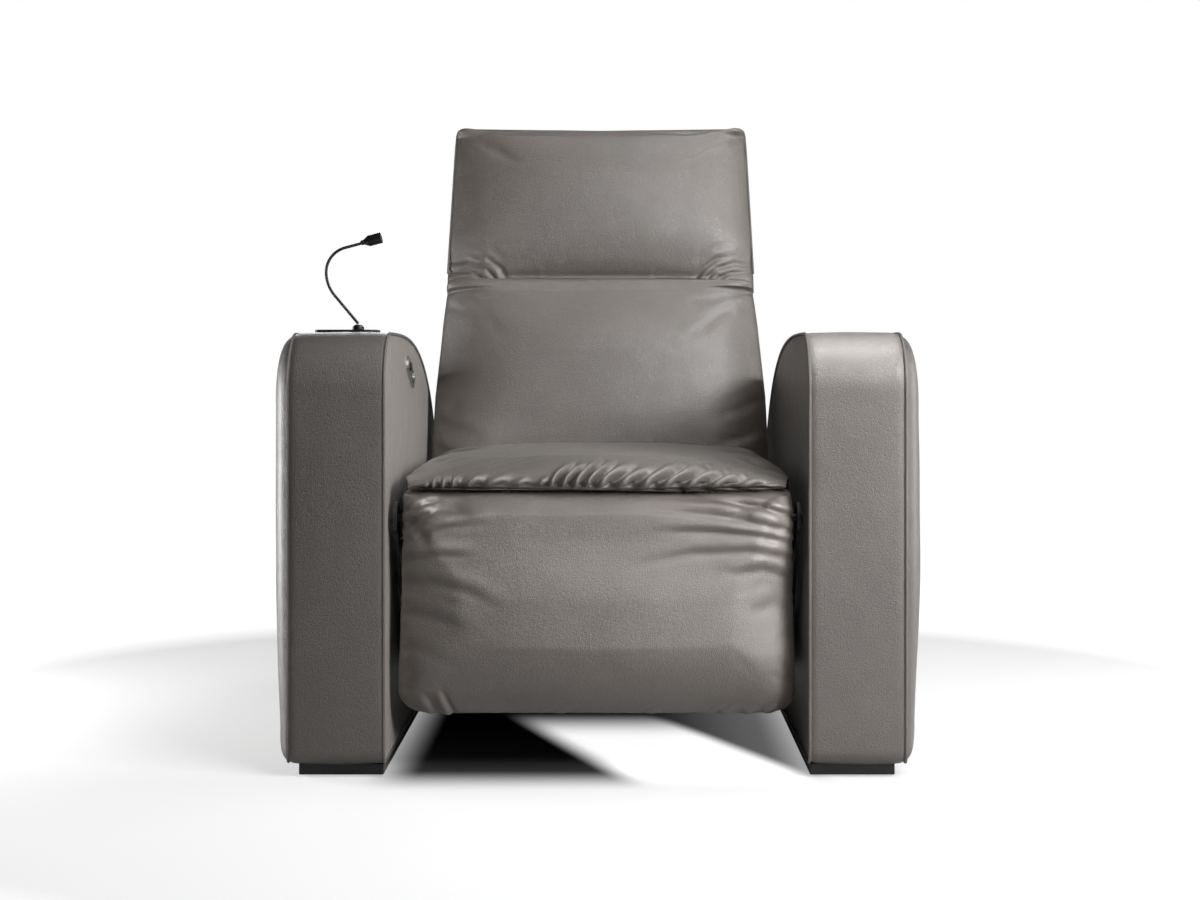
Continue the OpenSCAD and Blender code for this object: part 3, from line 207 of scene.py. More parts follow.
def glowing_lens():
    m, t = new_material("frosted_lens")
    place = node(t, "ShaderNodeTexCoord").outputs["Object"]
    ribs = node(t, "ShaderNodeTexVoronoi", {"Vector": place, "Scale": 900.0})
    bump = node(t, "ShaderNodeBump", {"Height": ribs.outputs["Distance"], "Distance": 0.0003, "Strength": 0.6})
    shader = node(t, "ShaderNodeBsdfPrincipled", {"Base Color": (0.82, 0.81, 0.76, 1), "Roughness": 0.35,
                                                  "Normal": bump.outputs["Normal"]})
    node(t, "ShaderNodeOutputMaterial", {"Surface": shader.outputs[0]})
    return m


LIGHT_TONE = srgb(91, 84, 78)
DARK_TONE = srgb(79, 72, 66)
skin_main = leather("leather_main", LIGHT_TONE, DARK_TONE)
# Painted highlight: the piping and welts use the same leather made lighter, so they read as thin lit lines.
skin_piping_highlight = leather("leather_piping_painted_highlight", srgb(104, 98, 93), srgb(90, 84, 80), rough=0.5, grain=0.0011,
                      crease_depth=0.0002)
skin_rear = leather("leather_rear", srgb(94, 88, 84), srgb(86, 80, 76), rough=0.5)
dark_steel = plain("black_steel", srgb(44, 44, 46), 0.42, metallic=0.35)
zinc = plain("zinc", srgb(178, 181, 186), 0.32, metallic=1.0, brushed=(1, 12, 12))
dark_zinc = plain("dark_zinc", srgb(52, 52, 54), 0.5, metallic=0.6)
satin_metal = plain("satin_metal", srgb(196, 196, 194), 0.28, metallic=1.0, brushed=(1, 1, 14))
rod_chrome = plain("rod_chrome", srgb(205, 207, 210), 0.16, metallic=1.0, grain_depth=0.00001)
black_metal = plain("black_metal", srgb(26, 26, 27), 0.38, metallic=0.0, coat=0.15)
black_plastic = plain("black_plastic", srgb(30, 30, 32), 0.55, grain_scale=1400.0, grain_depth=0.00008)
board = plywood()
web = woven("webbing", srgb(58, 57, 54))
cloth = woven("lining_cloth", srgb(38, 38, 38))
lens = glowing_lens()


# Mesh helpers

def mesh_object(name, points, faces, material, body, smooth=True):
    mesh = bpy.data.meshes.new(name)
    mesh.from_pydata([tuple(p) for p in points], [], faces)
    mesh.validate()
    mesh.update()
    if smooth:
        mesh.polygons.foreach_set("use_smooth", [True] * len(mesh.polygons))
    obj = bpy.data.objects.new(name, mesh)
    scene.collection.objects.link(obj)
    mesh.materials.append(material)
    if body:
        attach(obj, body)
    return obj


def ring_faces(n, m, wrap=False):
    """Quads between n rings of m points. wrap also joins the last ring to the first."""
    faces = []
    for i in range(n if wrap else n - 1):
        k = (i + 1) % n
        for j in range(m):
            h = (j + 1) % m
            faces.append((i * m + j, i * m + h, k * m + h, k * m + j))
    return faces


def closed_skin(name, rings, material, body):
    """Skin over rings (n, m, 3), each end closed by a fan."""
    n, m, _ = rings.shape
    points = np.vstack([rings.reshape(-1, 3), rings[0].mean(0), rings[-1].mean(0)])
    faces = ring_faces(n, m)
    faces += [(n * m, (j + 1) % m, j) for j in range(m)]
    faces += [(n * m + 1, (n - 1) * m + j, (n - 1) * m + (j + 1) % m) for j in range(m)]
    obj = mesh_object(name, points, faces, material, body)
    outwards(obj)
    return obj


def outwards(obj):
    b = bmesh.new()
    b.from_mesh(obj.data)
    bmesh.ops.recalc_face_normals(b, faces=b.faces)
    b.to_mesh(obj.data)
    b.free()


def tube(name, path, radius, material, body, sides=12, wrap=False, radii=None):
    path = np.array(path, float)
    n = len(path)
    if wrap:
        tangent = np.roll(path, -1, 0) - np.roll(path, 1, 0)
    else:
        tangent = np.gradient(path, axis=0)
    tangent /= np.linalg.norm(tangent, axis=1)[:, None]
    side = np.array([1.0, 0, 0])
    if abs(tangent[0] @ side) > 0.9:
        side = np.array([0, 0, 1.0])
    rings = []
    for i in range(n):
        side = side - tangent[i] * (side @ tangent[i])
        side /= np.linalg.norm(side)
        up = np.cross(tangent[i], side)
        r = radius if radii is None else radii[i]
        rings.append([path[i] + r * (math.cos(a) * side + math.sin(a) * up)
                      for a in np.linspace(0, 2 * math.pi, sides, endpoint=False)])
    rings = np.array(rings)
    if wrap:
        obj = mesh_object(name, rings.reshape(-1, 3), ring_faces(n, sides, True), material, body)
        outwards(obj)
        return obj
    return closed_skin(name, rings, material, body)


def resample(path, step, wrap=True):
    path = np.array(path, float)
    if wrap:
        path = np.vstack([path, path[:1]])
    length = np.r_[0, np.cumsum(np.linalg.norm(np.diff(path, axis=0), axis=1))]
    count = max(8, int(round(length[-1] / step)))
    at = np.linspace(0, length[-1], count + (0 if wrap else 1), endpoint=not wrap)
    return np.column_stack([np.interp(at, length, path[:, k]) for k in range(path.shape[1])])


def smoothstep(a, b, x):
    t = np.clip((x - a) / (b - a), 0, 1)
    return t * t * (3 - 2 * t)


def cloudy(points, size, seed=0.0):
    """Smooth noise from -1 to 1 at each point, with features of about that size in metres."""
    return np.array([noise.noise(Vector(p) / size + Vector((seed, seed * 0.7, -seed))) for p in points])


def normals_of(obj):
    v = np.empty(len(obj.data.vertices) * 3)
    obj.data.vertices.foreach_get("normal", v)
    return v.reshape(-1, 3)


def places_of(obj):
    v = np.empty(len(obj.data.vertices) * 3)
    obj.data.vertices.foreach_get("co", v)
    return v.reshape(-1, 3)


def move_points(obj, points):
    obj.data.vertices.foreach_set("co", np.asarray(points, float).ravel())
    obj.data.update()


def dress(node_name, material, body, bevel=0.0008, segments=2):
    """A bevelled copy of a rigid node, shown in its place."""
    source = frame["nodes"][node_name]
    obj = bpy.data.objects.new("shown_" + node_name, source.data.copy())
    scene.collection.objects.link(obj)
    b = bmesh.new()
    b.from_mesh(obj.data)
    bmesh.ops.remove_doubles(b, verts=b.verts, dist=1e-6)
    bmesh.ops.dissolve_limit(b, angle_limit=0.02, verts=b.verts, edges=b.edges)
    b.to_mesh(obj.data)
    b.free()
    obj.data.materials.clear()
    obj.data.materials.append(material)
    for attribute in ("custom_normal", "sharp_face"):
        if attribute in obj.data.attributes:
            obj.data.attributes.remove(obj.data.attributes[attribute])
    obj.data.polygons.foreach_set("use_smooth", [True] * len(obj.data.polygons))
    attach(obj, body)
    m = obj.modifiers.new("edges", "BEVEL")
    m.width, m.segments, m.limit_method, m.angle_limit = bevel, segments, "ANGLE", math.radians(32)
    m.harden_normals = True
    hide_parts(node_name)
    return obj


# Arms

FOOT_R, TOP_R = 0.017, 0.085
REAR_H, FLAT = 0.255, 0.100
PIPING_R, THIN_PIPING_R = 0.0023, 0.0014
PIPING_OUT = 0.0014
CROSS_SEAM_Z = 0.331


def arm_outline(step=0.006):
    """Side outline of an arm as depth behind its front and height, running front foot, rear, top, front."""
    def arc(c, r, a, b, n=24):
        t = np.radians(np.linspace(a, b, n))
        return [(c[0] + r * math.cos(x), c[1] + r * math.sin(x)) for x in t]
    top = [(FLAT + (ARM_DEPTH - FLAT) * math.cos(a),
            REAR_H + (ARM_TOP - REAR_H) * math.sqrt(max(0, 1 - math.cos(a) ** 3)))
           for a in np.linspace(0, math.pi / 2, 120)]
    path = (arc((FOOT_R, ARM_FOOT + FOOT_R), FOOT_R, 180, 270) +
            arc((ARM_DEPTH - FOOT_R, ARM_FOOT + FOOT_R), FOOT_R, 270, 360) + top +
            arc((TOP_R, ARM_TOP - TOP_R), TOP_R, 90, 180))
    return resample(path, step)


def outward(path):
    t = np.roll(path, -1, 0) - np.roll(path, 1, 0)
    t /= np.linalg.norm(t, axis=1)[:, None]
    return np.column_stack([t[:, 1], -t[:, 0]])


outline = arm_outline()
out_n = outward(outline)
BAND_L, BAND_R = band_lo[0], band_hi[0] + 0.003


def side_name(left):
    return "left" if left else "right"


def on_arm(left, x, path):
    """Places a side path at x, which may differ from point to point, on the right arm or on the left one."""
    x = np.broadcast_to(x, len(path))
    return np.column_stack([-x if left else x, path[:, 0] + FRONT, path[:, 1]])


def arm_band(left):
    """Padded strip over the arm's front, top, rear and underside, slightly crowned between its seams."""
    w = (BAND_R - BAND_L) / 2
    mid = (BAND_R + BAND_L) / 2
    across = np.sin(np.linspace(-math.pi / 2, math.pi / 2, 34))
    gap = (1 - np.abs(across)) * w
    dip = np.where(left & (across < 0), 0.0008, 0.0024)
    lift = 0.0016 * (1 - across ** 2) - dip * np.exp(-(gap / 0.0045) ** 1.5)
    rings = []
    for u, h in zip(across, lift):
        rings.append(on_arm(left, mid + u * w, outline + out_n * h))
    for u in (0.995, -0.995):
        rings.append(on_arm(left, mid + u * w, outline - out_n * 0.011))
    rings = np.array(rings)
    n, m, _ = rings.shape
    name = side_name(left) + "_band_leather"
    obj = mesh_object(name, rings.reshape(-1, 3), ring_faces(n, m, True), skin_main, None)
    outwards(obj)
    co, no = places_of(obj), normals_of(obj)
    soft = cloudy(co, 0.16, 3.1 if left else 8.4) * 0.0011 + cloudy(co, 0.05, 1.7) * 0.0004
    outer = np.repeat([1.0] * len(across) + [0.0, 0.0], m)
    across_w = np.repeat(list(1 - across ** 6) + [0.0, 0.0], m)
    move_points(obj, co + no * (soft * outer * across_w)[:, None])
    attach(obj, "base")
    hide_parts(side_name(left) + "_arm_band")
    return obj


def arm_panel(left, outer):
    """Side panel inside the piping: domed outside, lightly padded inside."""
    inset = 0.0012 if not outer else 0.0016
    base = outline - out_n * inset
    mid = np.array([ARM_DEPTH / 2, ARM_TOP / 2])
    shares = 1 - np.concatenate([0.12 * np.linspace(0, 1, 26) ** 1.6, np.linspace(0.135, 0.97, 44)])
    rise, edge = (0.0045, BAND_L + 0.0008) if not outer else (ARM_OUT - BAND_R - 0.0015, BAND_R - 0.0008)
    sign = -1 if not outer else 1
    rings = []
    for s in shares:
        path = mid + s * (base - mid)
        e = np.abs(((base - path) * out_n).sum(1))
        if outer:
            more = -0.0045 if left else 0.006 * smoothstep(ARM_TOP - 0.08, ARM_TOP - 0.22, path[:, 1])
            edge_rise, shoulder_rise = 0.0105, 0.0175
            h = edge_rise * (1 - np.exp(-e / 0.006)) + shoulder_rise * (1 - np.exp(-e / 0.032))
            h = h + (rise - edge_rise - shoulder_rise + more) * (1 - s ** 2)
            h = h * (1 - 0.30 * smoothstep(0.30, 0.02, path[:, 1]))
        else:
            edge_rise = 0.0030
            h = edge_rise * (1 - np.exp(-e / 0.004)) + (rise - edge_rise) * (1 - s ** 4)
        rings.append(on_arm(left, edge + sign * h, path))
    back = [on_arm(left, edge - sign * 0.006, mid + 0.985 * (base - mid))]
    rings = np.array(back + rings)
    place = "_outer" if outer else "_inner"
    obj = closed_skin(side_name(left) + place + "_leather", rings, skin_main, None)
    co, no = places_of(obj), normals_of(obj)
    soft = cloudy(co, 0.2, 5.2 + outer) * (0.0016 if outer else 0.0008) + cloudy(co, 0.07, 2.0) * 0.0004
    edge_way = np.concatenate([np.repeat(np.r_[0.0, 1 - shares ** 14], len(base)), [0, 1]])
    if not outer:
        z, y = co[:, 2], co[:, 1]
        line = np.exp(-((z - CROSS_SEAM_Z) / 0.0016) ** 2) * smoothstep(FRONT + 0.045, FRONT + 0.03, y)
        soft = soft - line * 0.0022
    move_points(obj, co + no * (soft * edge_way)[:, None])
    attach(obj, "base")
    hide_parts(side_name(left) + "_arm" + place + "_panel")
    return obj


def arm_piping(left):
    pieces = []
    for x in (BAND_L - PIPING_OUT, BAND_R + PIPING_OUT):
        path = on_arm(left, x, outline - out_n * 0.0012)
        radius = THIN_PIPING_R if left and x > BAND_R else PIPING_R
        pieces.append(tube(side_name(left) + "_piping", path, radius, skin_piping_highlight, "base", wrap=True))
    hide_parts(side_name(left) + "_arm_piping")
    return pieces


for left in (True, False):
    arm_band(left)
    arm_panel(left, True)
    arm_panel(left, False)
    arm_piping(left)


# Viewpoint: lengths in metres, and focal length and centre in units of a picture 1200 wide and 900 high

PICTURE_W, PICTURE_H, SENSOR = 1200, 900, 36
FOCAL = 2046.0
EYE = Vector((0.029, -3.465, 0.614))
CENTRE_X, CENTRE_Y = 616.5, 360.0


def seen(points):
    """Where the camera sees points, on a picture of 1200 by 900."""
    d = points[:, 1] - EYE.y
    return CENTRE_X + FOCAL * (points[:, 0] - EYE.x) / d, CENTRE_Y - FOCAL * (points[:, 2] - EYE.z) / d


# Cushions

def refine(grid, times=1):
    """Inserts a point between each two, by cubic interpolation: open along the rings' order, closed round
    them."""
    for _ in range(times):
        n, m, _k = grid.shape
        out = np.empty((n, m * 2, 3))
        out[:, 0::2] = grid
        a, b = grid, np.roll(grid, -1, 1)
        before, after = np.roll(grid, 1, 1), np.roll(grid, -2, 1)
        out[:, 1::2] = (9 * (a + b) - before - after) / 16
        grid = out
        padded_grid = np.concatenate([2 * grid[:1] - grid[1:2], grid, 2 * grid[-1:] - grid[-2:-1]])
        rows = np.empty((n * 2 - 1, m * 2, 3))
        rows[0::2] = grid
        rows[1::2] = (9 * (grid[:-1] + grid[1:]) - padded_grid[:-3] - padded_grid[3:]) / 16
        grid = rows
    return grid


def swell(grid, hold, cap, pressure=4.0):
    """Cloth under a little air pressure over the grid's surface. hold is 1 where the cloth is fixed."""
    n, m, _ = grid.shape
    obj = closed_skin("cloth_work", grid, skin_main, None)
    group = obj.vertex_groups.new(name="hold")
    flat = hold.reshape(-1)
    for i in range(n * m):
        if flat[i] > 0:
            group.add([i], float(flat[i]), "REPLACE")
    group.add([n * m, n * m + 1], 1.0, "REPLACE")
    m_cloth = obj.modifiers.new("cloth", "CLOTH")
    s = m_cloth.settings
    s.quality = 6
    s.mass = 0.4
    s.tension_stiffness = s.compression_stiffness = 22
    s.shear_stiffness = 12
    s.bending_stiffness = 0.6
    s.use_pressure = True
    s.uniform_pressure_force = pressure
    s.effector_weights.gravity = 0
    s.vertex_group_mass = "hold"
    m_cloth.collision_settings.use_collision = False
    m_cloth.collision_settings.use_self_collision = False
    m_cloth.point_cache.frame_start, m_cloth.point_cache.frame_end = 1, 20
    for f in range(1, 21):
        scene.frame_set(f)
    got = obj.evaluated_get(bpy.context.evaluated_depsgraph_get()).to_mesh()
    v = np.empty(len(got.vertices) * 3)
    got.vertices.foreach_get("co", v)
    v = v.reshape(-1, 3)[:n * m].reshape(n, m, 3)
    bpy.data.objects.remove(obj)
    scene.frame_set(1)
    move = v - grid
    move = np.clip(move, -np.array(cap), np.array(cap))
    for _ in range(2):
        move = (move + np.roll(move, 1, 1) + np.roll(move, -1, 1)) / 3
    return grid + move


def stroke(px, py, points, wide, high, valley=0.7, skew=1.0):
    """A fold along a line of picture points: a ridge with a valley on its right side, fading at its ends."""
    value = np.zeros(len(px))
    pts = np.array(points, float)
    length = np.linalg.norm(np.diff(pts, axis=0), axis=1)
    total = length.sum()
    best = np.full(len(px), 1e9)
    signed = np.zeros(len(px))
    along = np.zeros(len(px))
    done = 0.0
    for (a, b, l) in zip(pts[:-1], pts[1:], length):
        t = ((px - a[0]) * (b[0] - a[0]) + (py - a[1]) * (b[1] - a[1])) / l ** 2
        t = np.clip(t, 0 if done else -9, 1 if done + l < total - 1e-6 else 9)
        tc = np.clip(t, 0, 1)
        dx, dy = px - (a[0] + tc * (b[0] - a[0])), py - (a[1] + tc * (b[1] - a[1]))
        d = np.hypot(dx, dy)
        side = ((b[0] - a[0]) * dy - (b[1] - a[1]) * dx) / l
        near = d < best
        best = np.where(near, d, best)
        signed = np.where(near, side, signed)
        along = np.where(near, (done + t * l) / total, along)
        done += l
    fade = smoothstep(-0.12, 0.18, along) * smoothstep(1.15, 0.55, along)
    ridge = np.exp(-(signed / wide) ** 2)
    dip = np.exp(-((signed - 1.25 * wide * skew) / (0.6 * wide)) ** 2)
    return high * fade * (ridge - valley * dip)


def cushion_ring(w, face, rear, r, crown, n=84, back=36, rear_r=0.006, reach=None):
    """One ring of a cushion: (across, deep) points, crowned in front and rounded at its ends by r in depth
    and by reach across."""
    q = np.linspace(0, 1, n)
    u = w * (0.55 * np.sin(math.pi * q - math.pi / 2) + 0.45 * (2 * q - 1))
    r = min(r, 0.85 * (rear - face))
    reach = max(r, reach or 0)
    e = np.clip((np.abs(u) - w + reach) / reach, 0, 1)
    front = face + r * (1 - np.sqrt(1 - e * e)) - crown * (1 - (u / w) ** 2)
    q = np.linspace(0, 1, back)
    ub = -w * (0.55 * np.sin(math.pi * q - math.pi / 2) + 0.45 * (2 * q - 1))
    rr = min(rear_r, 0.12 * (rear - face))
    e = np.clip((np.abs(ub) - w + rr) / rr, 0, 1)
    behind = rear - rr * (1 - np.sqrt(1 - e * e))
    return np.concatenate([np.column_stack([u, np.minimum(front, rear - 0.0005)]),
                           np.column_stack([ub, behind])[1:-1]])


def finish_cushion(name, grid, material, body, nodes, shape):
    """Refines the grid, moves its points by shape(places, normals) and shows the cushion in place of its
    nodes."""
    obj = closed_skin(name, refine(grid), material, None)
    co, no = places_of(obj), normals_of(obj)
    move_points(obj, co + shape(co, no))
    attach(obj, body)
    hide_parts(*nodes)
    return obj


# Seat cushion

SEAT_W = (seat_hi.x - seat_lo.x) / 2
SEAT_TOP, SEAT_BASE = 0.468, seat_lo.z
LIP = LEG_AXIS.z + 0.047
SEAT_REAR = seat_hi.y - FRONT
SEAT_SET = 0.018
SEAT_R = 0.038
LIP_DEEP, LIP_ROUND = 0.111, 0.080


def seat_grid():
    rings = []
    front = SEAT_SET + np.linspace(0, 1, 26) ** 1.5 * (LIP_DEEP - SEAT_SET)
    rear = LIP_DEEP + (SEAT_REAR - LIP_DEEP) * np.linspace(0.02, 1, 60)
    for d in np.concatenate([front, rear]):
        e = max(0, 1 - (d - SEAT_SET) / LIP_ROUND)
        front_way = 1 - smoothstep(0.02, 0.24, d)
        rise = math.sqrt(max(0, 1 - e * e))
        crown = (0.014 + 0.012 * front_way) * rise
        drop = (SEAT_TOP - LIP - 0.002) * (1 - rise)
        draw = 0.007 * abs(2 * (d - SEAT_SET) / (SEAT_REAR - SEAT_SET) - 1) ** 3
        arch = 0.008 * smoothstep(0.020, 0.042, d)
        lip = d <= LIP_DEEP + 0.0001
        low = 0.0015 - LIP - arch if lip else -SEAT_BASE
        ring = cushion_ring(SEAT_W - draw - 0.012 * front_way ** 1.5, drop + crown - SEAT_TOP, low, SEAT_R,
                            crown, n=150, reach=SEAT_R + 0.045 * front_way)
        high = np.clip(-ring[:, 1] - LIP, 0, None)
        tuck = 0.009 * np.clip(1 - high / 0.010, 0, 1) ** 2 * lip
        bow = 0.010 * (np.abs(ring[:, 0]) / SEAT_W) ** 4 * front_way
        rings.append(np.column_stack([ring[:, 0], d + FRONT + (tuck + bow) * front_way, -ring[:, 1]]))
    return np.array(rings)


SEAT_FOLDS = [
    ([(419, 497), (423, 489), (430, 482)], 3.0, 3.0), ([(428, 495), (433, 486), (438, 477)], 3.0, 3.8),
    ([(437, 494), (443, 485), (449, 477)], 3.2, 4.2), ([(447, 493), (453, 484), (460, 476)], 3.2, 3.6),
    ([(458, 492), (470, 483), (486, 476)], 4.0, 3.2), ([(474, 491), (490, 483), (510, 476)], 4.4, 2.4),
    ([(506, 492), (516, 485), (528, 478)], 4.0, 2.0), ([(530, 492), (540, 484), (550, 476)], 3.8, 2.4),
    ([(543, 492), (556, 478), (572, 464)], 3.9, 4.4), ([(555, 492), (569, 478), (586, 464)], 3.7, 4.6),
    ([(567, 492), (582, 477), (600, 460)], 4.0, 4.8), ([(579, 491), (595, 476), (613, 462)], 3.8, 4.0),
    ([(592, 490), (610, 477), (632, 465)], 4.4, 4.2), ([(610, 490), (628, 480), (654, 468)], 4.4, 3.8),
    ([(632, 490), (651, 480), (684, 464)], 4.6, 4.2), ([(652, 489), (676, 479), (710, 464)], 4.4, 4.0),
    ([(674, 491), (696, 481), (728, 469)], 4.2, 3.8), ([(696, 492), (717, 483), (748, 473)], 4.0, 3.6),
    ([(716, 493), (738, 486), (767, 479)], 3.5, 3.2), ([(738, 494), (757, 489), (780, 485)], 3.3, 3.0),
    ([(758, 497), (772, 493), (788, 493)], 3.0, 2.4),
]


def seat_shape(co, no):
    px, py = seen(co)
    facing = smoothstep(0.05, 0.6, no[:, 2] * 0.6 - no[:, 1]) * smoothstep(FRONT + 0.16, FRONT + 0.1, co[:, 1])
    rise = np.zeros(len(co))
    for points, wide, high in SEAT_FOLDS:
        rise += stroke(px, py, points, wide * 0.85, high * 2.6 * MM, valley=1.0)
    lift = rise * facing
    fine = cloudy(co, 0.045, 4.0) * 0.0009 + cloudy(co, 0.15, 9.0) * 0.0022
    low = smoothstep(SEAT_BASE + 0.01, SEAT_BASE + 0.05, co[:, 2])
    return no * (lift + fine * low)[:, None]


grid = seat_grid()
hold = np.where(grid[:, :, 2] < LIP + 0.012, 1.0, 0.0)
grid = swell(grid, hold, (0.0025, 0.004, 0.003), 3.0)
finish_cushion("seat_leather", grid, skin_main, "base", ["seat_cushion"], seat_shape)


# Legrest, placed about its hinge

LEG_W = (leg_hi.x - leg_lo.x) / 2
LEG_DROP = LEG_AXIS.z - leg_lo.z
NOSE_R = 0.045
LEG_REAR = leg_hi.y - LEG_AXIS.y
FLARE = 0.008
NOSE_WAY = 2 / 3.6


def leg_grid():
    rings = []
    corner, turn, deep = 0.037, 0.095, 0.046
    rise = np.concatenate([turn * (1 - np.cos(np.linspace(0, math.pi / 2, 30))),
                           turn + (LEG_DROP - turn) * np.linspace(0, 1, 32)[1:]])
    for h in rise:
        s, q = h - LEG_DROP, h / LEG_DROP
        c = 1 - math.sqrt(max(0, 1 - max(0, 1 - h / corner) ** 2))
        roll = deep * (1 - max(0, 1 - max(0, 1 - h / turn) ** 1.45) ** (1 / 1.45))
        full = smoothstep(0.02, 0.12, -s) * smoothstep(-0.02, 0.12, h)
        face = 0.001 * q + 0.007 * full + roll - NOSE_R
        rings.append((s, cushion_ring(LEG_W + FLARE * (1 - q) ** 1.5 - corner * c, face, LEG_REAR,
                                      0.030 * (1 - c / 2), 0.001 + 0.024 * full, n=110,
                                      reach=0.030 + 0.055 * full)))
    for a in np.linspace(0, math.radians(86), 30)[1:]:
        y = NOSE_R * math.cos(a) ** NOSE_WAY
        rings.append((NOSE_R * math.sin(a) ** NOSE_WAY, cushion_ring(
            LEG_W - 0.013 * math.sin(a) ** 6, 0.001 * math.cos(a) - y, min(LEG_REAR, y), min(0.028, y), 0.001,
            n=110)))
    return np.array([np.column_stack([r[:, 0], r[:, 1] + LEG_AXIS.y, np.full(len(r), s + LEG_AXIS.z)])
                     for s, r in rings])


LEG_FOLDS = [
    ([(403, 520), (412, 514), (436, 505)], 4.6, 4.2), ([(405, 508), (416, 502), (438, 495)], 4.2, 3.0),
    ([(402, 536), (420, 528), (452, 519), (486, 516)], 6.0, 3.2),
    ([(402, 552), (430, 548), (472, 548)], 6.5, 3.0),
    ([(401, 574), (430, 572), (470, 582), (500, 596)], 8.5, 2.2),
    ([(401, 600), (434, 606), (476, 620)], 10.0, 1.7), ([(401, 632), (430, 640), (464, 656)], 11.0, 1.0),
    ([(795, 512), (764, 502), (716, 495)], 4.6, 2.8),
    ([(798, 527), (765, 518), (715, 507), (650, 502)], 6.2, 4.0),
    ([(799, 538), (764, 530), (716, 525), (660, 524)], 6.2, 3.6),
    ([(800, 551), (750, 543), (690, 545), (640, 556)], 7.5, 2.8),
    ([(800, 570), (764, 560), (720, 566)], 8.0, 1.8), ([(800, 600), (774, 592), (740, 604)], 10.0, 1.0),
    ([(452, 718), (444, 706), (436, 690)], 4.0, 2.6), ([(436, 720), (428, 708), (418, 696)], 4.6, 1.6),
    ([(712, 722), (722, 714), (736, 706)], 3.4, 1.8), ([(736, 722), (745, 714), (757, 706)], 3.4, 1.8),
    ([(758, 722), (767, 713), (781, 704)], 3.4, 1.8), ([(776, 720), (785, 710), (795, 698)], 3.8, 1.4),
    ([(556, 722), (560, 714), (570, 706)], 3.6, 0.8), ([(640, 722), (648, 714), (660, 708)], 3.6, 0.9),
]


def leg_shape(co, no):
    px, py = seen(co)
    facing = smoothstep(0.0, 0.5, -no[:, 1])
    rise = np.zeros(len(co))
    for points, wide, high in LEG_FOLDS:
        flip = points[-1][0] < 600 and points[0][0] < 600
        rise += stroke(px, py, points, wide, high * 1.5 * MM, skew=1.0 if flip else -1.0)
    front = smoothstep(LEG_AXIS.y + 0.005, LEG_AXIS.y - 0.02, co[:, 1])
    fine = cloudy(co, 0.14, 2.2) * 0.0022 + cloudy(co, 0.05, 6.0) * 0.0006
    pucker = np.abs(cloudy(co * np.array([0.2, 0.2, 1.0]), 0.016, 3.3)) * 0.0022
    sides = smoothstep(LEG_W - 0.03, LEG_W - 0.004, np.abs(co[:, 0]))
    return no * (rise * facing + fine * front - pucker * sides * front)[:, None]


grid = leg_grid()
hold = np.where(grid[:, :, 1] > LEG_AXIS.y - 0.008, 1.0, 0.0)
grid = swell(grid, hold, (0.0025, 0.006, 0.004), 3.0)
finish_cushion("legrest_leather", grid, skin_main, "legrest", ["legrest_cushion"], leg_shape)


# Back, placed about its hinge and leaning

def leaning(local, axis):
    """Places points (across, rearwards, up the back) about an axis in the leaning back."""
    c, s = math.cos(LEAN), math.sin(LEAN)
    x, y, z = local[..., 0], local[..., 1], local[..., 2]
    return np.stack([x, y * c + z * s + axis.y, -y * s + z * c + axis.z], -1)


def upright(points, axis):
    c, s = math.cos(LEAN), math.sin(LEAN)
    y, z = points[:, 1] - axis.y, points[:, 2] - axis.z
    return np.column_stack([points[:, 0], y * c - z * s, y * s + z * c])


BACK_FACE, BACK_REAR, BACK_LEN = 0.082, 0.003, 0.359
head_local = upright(np.array([HEAD_AXIS]), BACK_AXIS)[0]
HEAD_Y, HEAD_Z = head_local[1], head_local[2]
HEAD_R, HEAD_CUT = 0.030, 0.032


def back_half(s):
    heights = [-0.08, 0.0, 0.07, 0.15, 0.28, 0.36]
    halves = [0.2945, 0.2990, 0.3005, 0.2980, 0.2855, 0.2745]
    return float(np.interp(s, heights, halves))


def back_grid():
    rings = []
    lip_from = HEAD_Z - HEAD_CUT
    for a in np.radians(np.linspace(82, 2, 20)):
        y = BACK_FACE * math.cos(a)
        rings.append((-BACK_FACE * math.sin(a), cushion_ring(back_half(-BACK_FACE * math.sin(a)), -y,
                                                             min(BACK_REAR, y - 0.001), min(0.050, y), 0.0,
                                                             reach=0.080 * min(1, y / 0.05))))
    for q in np.linspace(0, 1, 48)[1:]:
        s = (lip_from - 0.001) * q
        full = smoothstep(-0.05, 0.35, q) * smoothstep(1.02, 0.72, q)
        rings.append((s, cushion_ring(back_half(s), -BACK_FACE + 0.010 * full, BACK_REAR, 0.050, 0.030 * full,
                                      reach=0.095)))
    for q in np.linspace(0, 1, 12)[1:]:
        s = lip_from + (BACK_LEN - lip_from) * q
        e = max(0, (s - BACK_LEN + 0.012) / 0.012)
        tuck = 0.012 * (1 - math.sqrt(max(0, 1 - e * e)))
        rear = HEAD_Y - math.sqrt(HEAD_CUT ** 2 - (HEAD_Z - s) ** 2)
        rings.append((s, cushion_ring(back_half(s) - tuck, tuck - BACK_FACE, rear, 0.040, 0.0, reach=0.060)))
    local = np.array([np.column_stack([r[:, 0], r[:, 1], np.full(len(r), s)]) for s, r in rings])
    return leaning(local, BACK_AXIS)


BACK_FOLDS = [
    ([(438, 440), (452, 446), (478, 452)], 7.0, 2.2), ([(760, 440), (744, 447), (716, 452)], 7.0, 2.0),
    ([(442, 292), (452, 300), (474, 306)], 6.0, 1.4), ([(754, 292), (744, 300), (722, 305)], 6.0, 1.4),
    ([(436, 408), (454, 418), (486, 428)], 8.0, 1.4), ([(764, 408), (746, 418), (712, 429)], 8.0, 1.4),
]


